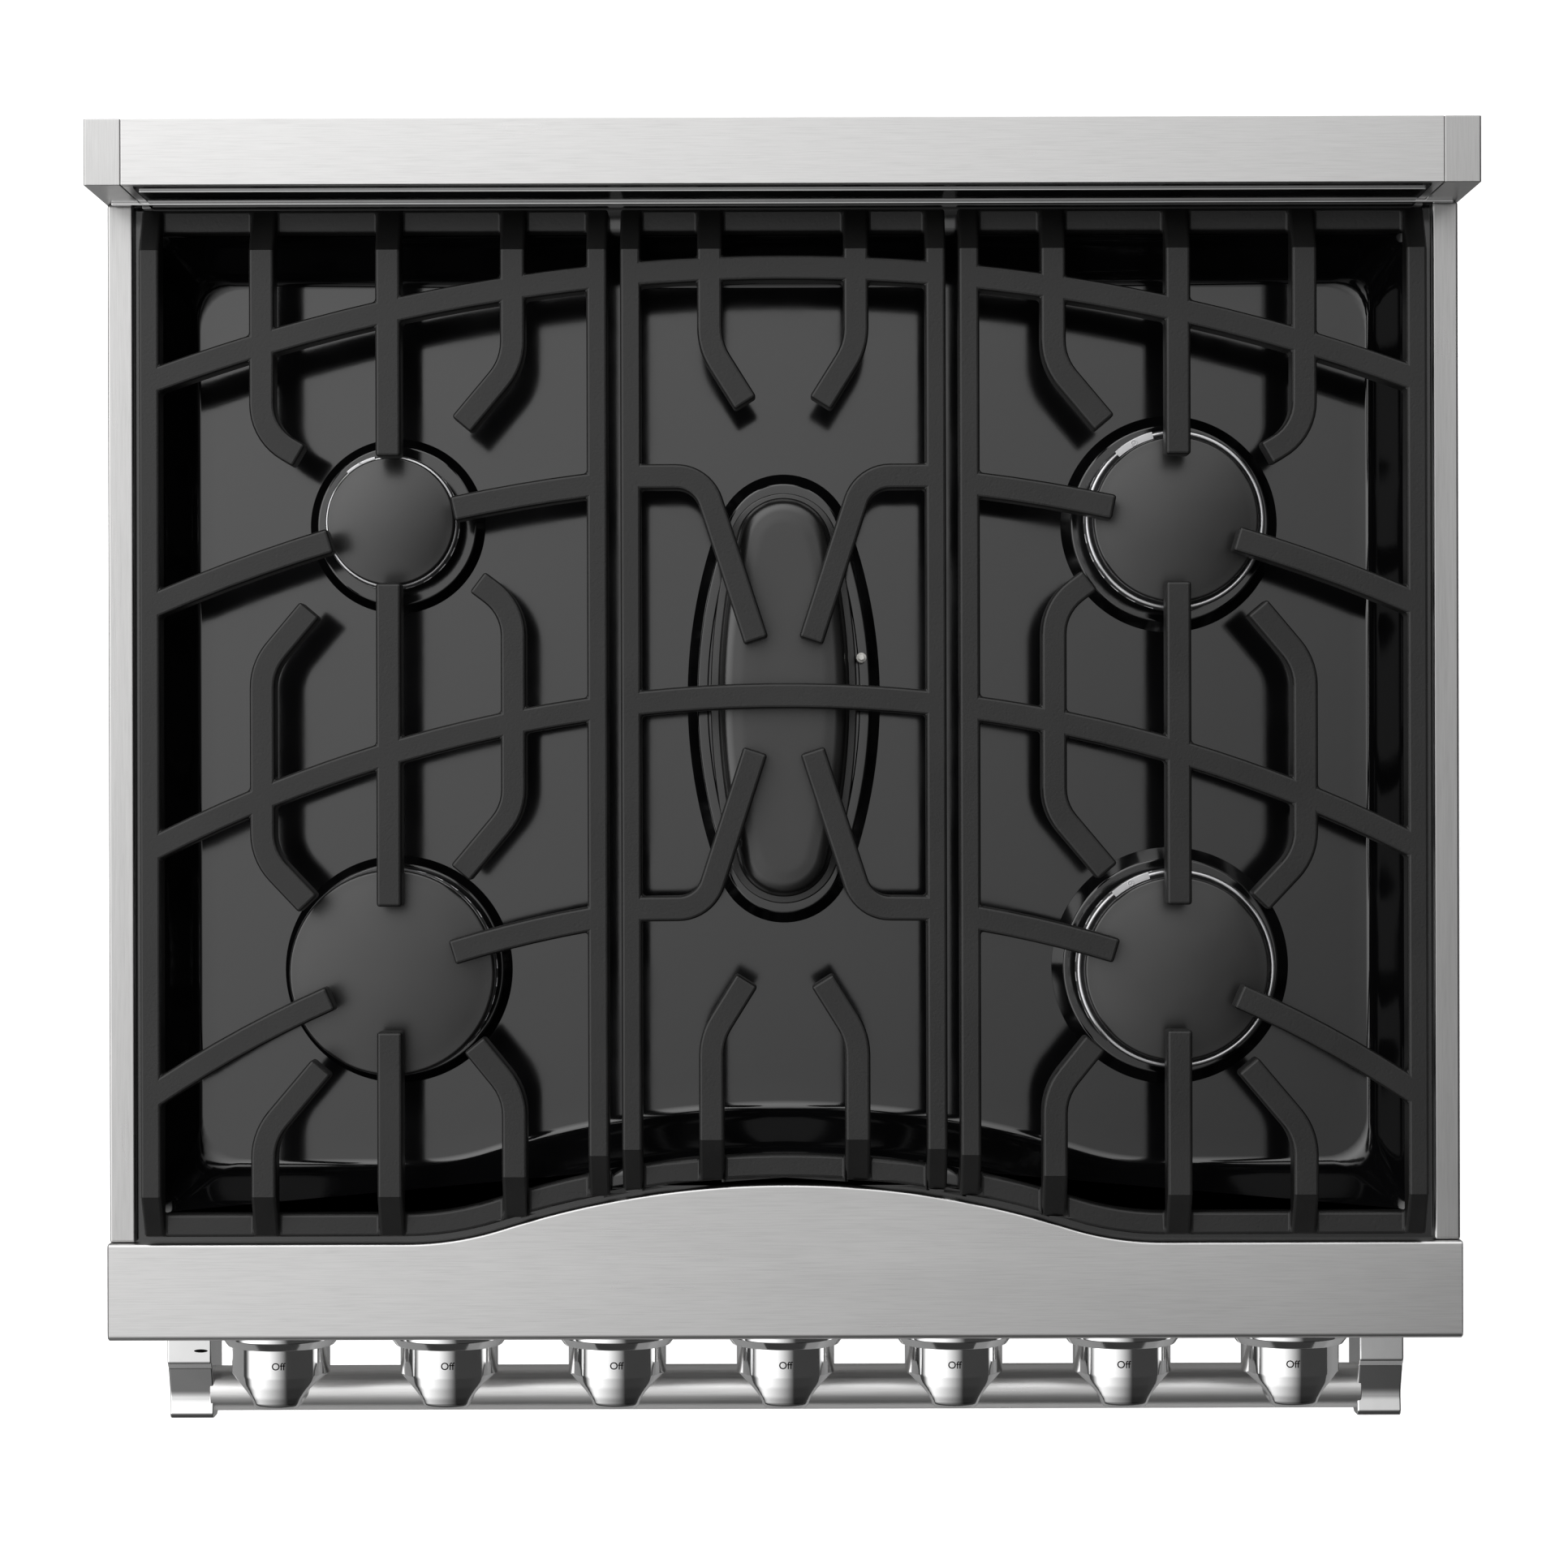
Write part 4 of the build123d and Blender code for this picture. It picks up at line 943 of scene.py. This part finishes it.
# --------------------------------------------------------------------------- knobs and handle
@dataclass
class KnobRow:
    """Seven flared knobs, their stepped bezels and the word on each skirt."""

    paint: Paintbox
    pitch: float = 96.8
    axis_z: float = 856.0
    panel_y: float = -298.5
    rear_y: float = -305.0
    flare_y: float = -326.2
    flare_run: float = 19.3
    lip_y: float = -342.2
    skirt_r: float = 28.0
    pinch: float = 15.2
    power: float = 22.0
    word_size: float = 5.8
    word_y: float = -319.4
    word_turn: float = 0.007
    names: tuple[str, ...] = ("left_front", "left_rear", "center", "oven_temperature",
                              "oven_mode", "right_rear", "right_front")

    def knob_surface(self, x: float) -> np.ndarray:
        """The knob as r(t, y): the smaller of the round envelope R(y) and the bar w(y)/|cos t|.

        The two are joined by a smooth minimum, (R^-p + W^-p)^(-1/p), so that the bar's corners
        are rounded.  w(y) falls from the skirt's radius to the grip's half width along a hollow
        flare.
        """
        y = np.concatenate([
            [self.rear_y, self.rear_y - 0.6], np.linspace(-306.5, -325.6, 6),
            np.linspace(self.flare_y, -341, 18), [self.lip_y, -343.3, -344.1, -344.5]])
        share = np.clip((self.flare_y - y) / self.flare_run, 0, 1)
        width = self.skirt_r - self.pinch * (1 - (1 - share) ** 2.0)
        lip = np.clip((self.lip_y - y) / 2.4, 0, 1)
        width = width - 1.9 * (1 - np.sqrt(1 - lip ** 2))
        round_r = np.interp(-y, [-self.rear_y, 0.6 - self.rear_y, -self.flare_y, 332, 338,
                                 -self.lip_y, 344.6],
                            [27.4, self.skirt_r, self.skirt_r, 27.2, 26.0, 24.8, 22.6])
        t = np.linspace(0, 2 * math.pi, 120, endpoint=False)[None]
        bar = width[:, None] / np.maximum(np.abs(np.cos(t)), 1e-3)
        ring = round_r[:, None] + 0 * t
        low = np.minimum(bar, ring)
        blend = (bar / low) ** -self.power + (ring / low) ** -self.power
        r = low * blend ** (-1 / self.power)
        r = np.where((y > self.flare_y - 0.1)[:, None], ring, r)
        return np.stack([x + r * np.cos(t), y[:, None] + 0 * t, self.axis_z + r * np.sin(t)], -1)

    def bezel_surface(self, x: float) -> np.ndarray:
        """The bezel's section carried round the knob's axis."""
        f = self.panel_y
        section = softened([(28.4, f), (33.85, f), (33.85, -305.6), (30.4, -310.2),
                            (28.6, -310.6), (28.4, -310.2)], 0.4, 4)
        return turned_forward(section, x, self.axis_z, 112)

    def lettering(self, name: str, x: float) -> None:
        """Prints the word on the skirt: flat letters bent over the cylinder x^2 + z^2 = r^2."""
        curve = bpy.data.curves.new(f"word_{name}", "FONT")
        curve.body, curve.size, curve.offset = "Off", self.word_size, 0.06
        curve.align_x, curve.align_y, curve.extrude = "CENTER", "CENTER", 0.04
        holder = bpy.data.objects.new(f"word_{name}", curve)
        bpy.context.scene.collection.objects.link(holder)
        bpy.context.view_layer.update()
        mesh = bpy.data.meshes.new_from_object(holder)
        bpy.data.objects.remove(holder)
        flat = np.zeros(len(mesh.vertices) * 3)
        mesh.vertices.foreach_get("co", flat)
        flat = flat.reshape(-1, 3)
        r = self.skirt_r + 0.06 + flat[:, 2]
        angle = (flat[:, 0] - self.word_turn * x) / self.skirt_r
        bent = np.stack([x + r * np.sin(angle), flat[:, 1] + self.word_y,
                         self.axis_z + r * np.cos(angle)], 1)
        mesh.vertices.foreach_set("co", (bent * MM).ravel())
        mesh.materials.clear()
        mesh.materials.append(self.paint["ink_and_hole_shade"])
        piece = bpy.data.objects.new(f"word_{name}", mesh)
        bpy.context.scene.collection.objects.link(piece)
        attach(piece, f"knob_{name}")

    def build(self) -> None:
        """Makes every knob, its word and all the bezels."""
        bezels = Shell()
        for i, name in enumerate(self.names):
            x = (i - 3) * self.pitch
            grid = self.knob_surface(x)
            shell = Shell()
            shell.tube(grid)
            piece = shell.build(f"grip_{name}", f"knob_{name}", "chrome", self.paint["chrome"])
            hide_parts(f"knob_{name}")
            self.lettering(name, x)
            bezels.grid(self.bezel_surface(x), wrap_rows=True, wrap_cols=True)
        piece = bezels.build("bezel_rings", "range", "chrome", self.paint["chrome"])
        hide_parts("knob_bezels")


@dataclass
class DoorHandle:
    """The towel-bar tube between its two brackets."""

    paint: Paintbox
    y: float = -353.6
    z: float = 744.0
    r: float = 13.5
    half: float = 347.25
    chamfer: float = 0.6

    def build(self) -> None:
        """Carries a circle along X, with a small chamfer where it meets each bracket."""
        start, end, cut = -self.half, self.half, self.chamfer
        x = np.concatenate([[start, start + cut], np.linspace(start + 4, end - 4, 9),
                            [end - cut, end]])
        r = np.full(len(x), self.r)
        r[[0, -1]] -= cut
        t = np.linspace(0, 2 * math.pi, 72, endpoint=False)[None]
        grid = np.stack([x[:, None] + 0 * t, self.y + r[:, None] * np.cos(t),
                         self.z + r[:, None] * np.sin(t)], -1)
        shell = Shell()
        shell.tube(grid)
        piece = shell.build("tube", "door", "stainless", self.paint["tube_steel"])
        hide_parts("handle_tube")


@dataclass
class HandleBracket:
    """A bracket that carries the tube: a flat flange, a step and a sloped, scooped back."""

    paint: Paintbox
    node: str
    x: float
    half: float = 13.25
    low_z: float = 722.0
    top_z: float = 765.6
    front_y: float = -370.4
    rear_y: float = -298.1
    edge: float = 1.1

    def outline(self) -> np.ndarray:
        """The bracket's side view, (y, z): the back slopes 22 degrees, then levels out."""
        y = np.linspace(-339.2, self.front_y + 3.0, 24)
        u = np.clip((-353.0 - y) / 9.0, 0, 1)
        fall = np.cumsum(np.tan(np.radians(22 - 30 * u * u * (3 - 2 * u))) * np.gradient(y))
        back = [(a, self.top_z - 3.9 + b) for a, b in zip(y, fall - fall[0])]
        front, low = self.front_y, self.low_z
        corners = [(self.rear_y, low), (self.rear_y, self.top_z), (-335.2, self.top_z), *back,
                   (front, back[-1][1] - 2.0), (front, low + 20), (front + 7, low + 6),
                   (front + 20, low)]
        return softened(corners, 1.1, 4, loop=True)

    def build(self) -> None:
        """Carries the outline across, drawn in along a quarter circle at both cheeks."""
        ring = self.outline()
        run = np.roll(ring, -1, 0) - np.roll(ring, 1, 0)
        run /= np.linalg.norm(run, axis=1, keepdims=True)
        inward = np.stack([-run[:, 1], run[:, 0]], 1)
        if ((ring.mean(0) - ring) * inward).sum() < 0:
            inward = -inward
        a = np.linspace(0, math.pi / 2, 5)
        rows = [(self.edge * (1 - math.sin(k)), self.edge * (1 - math.cos(k)) - self.half)
                for k in a]
        rows += [(inset, -dx) for inset, dx in rows[::-1]]
        grid = np.stack([np.concatenate([np.full((len(ring), 1), self.x + dx),
                                         ring + inward * inset], 1) for inset, dx in rows])
        shell = Shell()
        shell.tube(grid)
        piece = shell.build(f"bracket_{self.node[15:]}", "door", "chrome", self.paint["chrome"])
        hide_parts(self.node)

    def screw_hole_shade(self) -> None:
        """A flat black disc of painted shade where the set-screw hole is in the flange."""
        profile = [(4.1, self.top_z - 0.3), (4.1, self.top_z + 0.1), (3.6, self.top_z + 0.15)]
        ring = turned(np.array(profile), 0.0, 0.0, 48)
        ring = ring * (1.0, 0.24, 1.0) + (self.x + 7.0, -328.0, 0.0)
        shell = Shell()
        shell.tube(ring)
        # Painted shade: the hole's dark inside is a matte black disc on the flange, in the print's
        # black.
        shell.build(f"screw_hole_shade_{self.node[15:]}", "door", "cap_enamel", self.paint["ink_and_hole_shade"])


@dataclass
class SparkPads:
    """A flat electrode pad let into each round burner's bead, with a ringed spark tip."""

    paint: Paintbox
    z: float = 904.9
    angle: float = 118.0
    sweep: float = 27.0

    def build(self, burners: Sequence[RoundBurner]) -> None:
        """Carries the pad's section along an arc of each burner's bead.

        Args:
            burners: the burners that have a bright bead.
        """
        for burner in burners:
            inner, outer = burner.cap_r + 0.15, max(burner.head_r + 0.35, burner.cap_r + 2.2)
            section = softened([(inner, self.z - 6), (outer, self.z - 6), (outer, self.z),
                                (inner, self.z)], 0.5, 4, True)
            half = self.sweep * min(1.0, 46 / burner.cap_r) / 2
            t = np.radians(np.linspace(self.angle - half, self.angle + half, 22))[:, None]
            r, z = section[None, :, 0], section[None, :, 1]
            grid = np.stack([burner.x + r * np.cos(t), burner.y + r * np.sin(t), z + 0 * t], -1)
            shell = Shell()
            shell.tube(grid)
            middle, a = (inner + outer) / 2, math.radians(self.angle)
            x, y = burner.x + middle * math.cos(a), burner.y + middle * math.sin(a)
            r, z = (outer - inner) * 0.42, self.z
            tip = softened([(r, z - 0.5), (r, z + 0.5), (r * 0.7, z + 0.5), (r * 0.6, z + 0.1),
                            (r * 0.4, z + 0.1), (r * 0.3, z + 0.6)], 0.15, 3)
            shell.tube(turned(tip, x, y, 36))
            shell.build(f"spark_pad_{burner.name}", "range", "aluminium",
                        self.paint["aluminium"])


@dataclass
class TrimFront:
    """The front of the back trim: a black sheet of painted shade over its recess, between the top,
    a folded ridge and a hem.
    """

    paint: Paintbox
    y: float = 337.5

    def bar(self, name: str, slot: str, corners: Sequence[tuple[float, float]], half: float,
            soft: float) -> None:
        """Carries a section (y, z) along X from -half to +half, its ends drawn in a little.

        Args:
            name: the piece's name.
            slot: its finish.
            corners: the section's corners.
            half: half its length.
            soft: the rounding of its corners.
        """
        section = softened(corners, soft, 5, loop=True)
        middle = section.mean(0)
        x = np.array([-half, -half + 0.2, -half + 0.8, half - 0.8, half - 0.2, half])
        size = np.array([0.6, 0.9, 1.0, 1.0, 0.9, 0.6])
        grid = np.stack([np.concatenate([np.full((len(section), 1), a),
                                         middle + (section - middle) * k], 1)
                         for a, k in zip(x, size)])
        shell = Shell()
        shell.tube(grid)
        shell.build(name, "range", slot, self.paint[slot])

    def build(self) -> None:
        """Makes the painted shade strip over the recess, the ridge and the hem."""
        y = self.y
        # Painted shade: a thin black sheet on the trim's face and over the gap below its hem, where
        # the real face is dark with shade.
        shade_strip = [(y, 976.0), (y - 0.5, 976.0), (y - 0.5, 913.0), (y - 2.7, 912.4),
                  (y - 2.7, 908.3), (y, 908.3)]
        ridge = [(y, 962.4), (y - 1.7, 962.4), (y - 1.7, 964.2), (y, 964.2)]
        hem = [(y, 918.6), (y - 2.0, 918.6), (y - 2.0, 921.0), (y, 921.0)]
        self.bar("trim_shade_strip", "black_enamel", shade_strip, 354.0, 0.2)
        self.bar("trim_ridge", "chrome", ridge, 352.0, 0.5)
        self.bar("trim_hem", "chrome", hem, 375.0, 0.6)


# --------------------------------------------------------------------------- CAD dressing
@dataclass
class CadDressing:
    """Gives the carried-over CAD nodes their materials and softened edges."""

    paint: Paintbox
    soft_edges: dict[str, tuple[float, float]] = field(default_factory=lambda: {
        "grate_left": (1.7, 0.4), "grate_center": (1.7, 0.4), "grate_right": (1.7, 0.4),
        "back_trim": (0.35, 0.05), "back_trim_caps": (0.5, 0.05), "side_trim_left": (1.5, 0.1),
        "side_trim_right": (1.5, 0.1), "control_panel": (0.6, 0.1), "kick_panel": (0.6, 0.1),
        "side_panel_left": (0.7, 0.1), "side_panel_right": (0.7, 0.1), "door_skin": (0.7, 0.1),
        "door_liner": (0.7, 0.1), "chassis_base": (0.5, 0.1), "fan_cover": (0.6, 0.1)})

    def dress(self, nodes: dict[str, bpy.types.Object], record: dict) -> None:
        """Puts each node's material on and bevels the listed nodes.

        Args:
            nodes: the frame's objects by node name.
            record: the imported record, for its sub-parts' slots.
        """
        for entry in record["subparts"]:
            node, slot = nodes[entry["node"]], entry["material_slot"]
            node.data.materials.clear()
            node.data.materials.append(self.paint[slot])
            if entry["node"] in self.soft_edges:
                self.soften(node, *self.soft_edges[entry["node"]])

    def soften(self, node: bpy.types.Object, width: float, merge: float) -> None:
        """Welds a node's loose triangles, merges its flat faces and rounds its edges.

        Args:
            node: the CAD node's object.
            width: how far each rounded edge reaches, in millimetres.
            merge: points nearer than this are one, in millimetres.
        """
        weld = node.modifiers.new("weld", "WELD")
        weld.merge_threshold = merge * MM
        flat = node.modifiers.new("flat", "DECIMATE")
        flat.decimate_type, flat.angle_limit = "DISSOLVE", math.radians(0.5)
        bevel = node.modifiers.new("edge", "BEVEL")
        bevel.width, bevel.segments = width * MM, 3
        bevel.limit_method, bevel.angle_limit = "ANGLE", math.radians(32)
        bevel.use_clamp_overlap = False
        even_shading(node)


# --------------------------------------------------------------------------- studio
@dataclass
class Studio:
    """Floor, soft light and the camera."""

    nadir_y: float = 0.0114
    height: float = 3.0
    view_width: float = 0.8787
    trim_z: float = 0.914
    roll: float = -0.0026
    level: float = 0.80
    across: float = -1.75
    along: float = 1.7
    rear_from: float = -0.10
    dimmest: float = 0.05
    brightest: float = 2.2
    horizon: float = 0.05
    front: float = 0.04
    floor_half: float = 40.0

    def camera(self) -> None:
        """A camera straight above, its lens set so that the trims' plane is view_width across."""
        data = bpy.data.cameras.new("camera")
        distance = self.height - self.trim_z
        data.lens = data.sensor_width * distance / self.view_width
        data.clip_end = 50.0
        camera = bpy.data.objects.new("camera", data)
        camera.location = (0.0, self.nadir_y, self.height)
        camera.rotation_euler = (0.0, 0.0, self.roll)
        bpy.context.scene.collection.objects.link(camera)
        bpy.context.scene.camera = camera

    def floor(self) -> None:
        """A wide pale floor."""
        mesh = bpy.data.meshes.new("floor")
        size = self.floor_half
        corners = [(-size, -size, 0), (size, -size, 0), (size, size, 0), (-size, size, 0)]
        mesh.from_pydata(corners, [], [(0, 1, 2, 3)])
        surface = Surface("Pale floor", Roughness=0.9)
        rays = surface.nodes.add("LightPath")
        surface.feed("Base Color", surface.nodes.ramp(rays.outputs["Is Glossy Ray"], [
            (0.0, grey(0.85)), (1.0, grey(0.22))]))
        surface.feed("Emission Color", grey(1.0))
        surface.feed("Emission Strength", surface.nodes.spread(
            rays.outputs["Is Camera Ray"], 0.05, 0.62))
        mesh.materials.append(surface.material)
        floor = bpy.data.objects.new("floor", mesh)
        bpy.context.scene.collection.objects.link(floor)

    def softbox(self, name: str, place: tuple[float, float, float], aim: tuple[float, float, float],
                size: tuple[float, float], power: float) -> None:
        """A rectangular soft light.

        Args:
            name: its name.
            place: where it stands, in metres.
            aim: the point it faces.
            size: its width and height.
            power: in watts.
        """
        data = bpy.data.lights.new(name, "AREA")
        data.shape, data.size, data.size_y, data.energy = "RECTANGLE", *size, power
        light = bpy.data.objects.new(name, data)
        light.visible_glossy = False
        light.location = place
        direction = np.array(aim) - np.array(place)
        light.rotation_euler = (
            math.atan2(math.hypot(direction[0], direction[1]), -direction[2]), 0.0,
            math.atan2(direction[0], -direction[1]) + math.pi)
        bpy.context.scene.collection.objects.link(light)

    def world(self) -> None:
        """A lid of soft light that leans to the rear left, over a dark horizon.

        For a direction (x, y, z) the lid's strength is level + across x + along y, kept between
        two limits and faded out toward the horizon; a weak band stands low down, and the camera
        itself sees plain white.
        """
        world = bpy.data.worlds.new("studio")
        world.use_nodes = True
        bpy.context.scene.world = world
        t = Tree(world.node_tree)
        background = next(n for n in world.node_tree.nodes if n.type == "BACKGROUND")
        split = t.add("SeparateXYZ", {0: t.add("TexCoord").outputs["Generated"]})
        rear = t.math("MAXIMUM", split.outputs["Y"], self.rear_from)
        lean = t.math("ADD", t.math("MULTIPLY", split.outputs["X"], self.across),
                      t.math("MULTIPLY", rear, self.along))
        lid = t.math("MAXIMUM", t.math("ADD", lean, self.level), self.dimmest)
        lid = t.math("MINIMUM", lid, self.brightest)
        fade = t.add("MapRange", {"Value": split.outputs["Y"], "From Min": -0.75, "From Max": -0.28,
                                  "To Min": 0.2, "To Max": 1.0}).outputs["Result"]
        lid = t.math("MULTIPLY", lid, fade)
        height = t.add("MapRange", {"Value": split.outputs["Z"], "From Min": 0.10,
                                    "From Max": 0.50},
                       interpolation_type="SMOOTHSTEP").outputs["Result"]
        front = t.add("MapRange", {"Value": split.outputs["Y"], "From Min": -0.2, "From Max": -0.9,
                                   "To Min": self.horizon, "To Max": self.front}).outputs["Result"]
        low = t.math("MULTIPLY", front, t.math("SUBTRACT", 1.0, height))
        t.feed(background, "Color", (1.0, 1.0, 1.0, 1.0))
        total = t.math("ADD", t.math("MULTIPLY", lid, height), low)
        seen = t.add("LightPath").outputs["Is Camera Ray"]
        t.feed(background, "Strength", t.math("MAXIMUM", total, seen))

    def build(self) -> None:
        """Sets up everything that isn't the range."""
        self.camera()
        self.floor()
        self.world()
        self.softbox("key", (-1.0, 1.0, 3.4), (0.0, 0.0, 0.8), (0.7, 0.7), 22.0)
        self.softbox("front", (1.4, -3.0, 1.5), (0.0, 0.0, 0.6), (2.2, 1.2), 22.0)
        bpy.context.scene.view_settings.view_transform = "Standard"


def main() -> None:
    """Builds the range's pieces in order round the frame."""
    logging.basicConfig(level=logging.INFO, format="%(message)s")
    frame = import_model()
    Studio().build()
    paint = Paintbox()
    CadDressing(paint).dress(frame["nodes"], frame["record"])
    curve = LedgeCurve()
    burners = [RoundBurner(paint, "left_rear", -220.5, 159.4, 36.0, 37.8, 45.0, 50.0),
               RoundBurner(paint, "left_front", -220.5, -94.0, 58.0, 58.5, 60.0, 65.0),
               RoundBurner(paint, "right_rear", 220.5, 159.5, 46.7, 51.0, 56.0, 62.0),
               RoundBurner(paint, "right_front", 220.5, -93.0, 52.0, 56.3, 61.0, 67.8)]
    oval = OvalBurner(paint)
    CooktopPan(paint, curve).build(burners, oval)
    for burner in burners:
        burner.cap()
        burner.head()
    oval.build()
    LandingLedge(paint, curve).build()
    KnobRow(paint).build()
    DoorHandle(paint).build()
    for side, x in (("left", -357.9), ("right", 357.9)):
        bracket = HandleBracket(paint, f"handle_bracket_{side}", x)
        bracket.build()
        if side == "left":
            bracket.screw_hole_shade()
    SparkPads(paint).build([b for b in burners if b.name != "left_front"])
    TrimFront(paint).build()


if __name__ == "__main__":
    main()
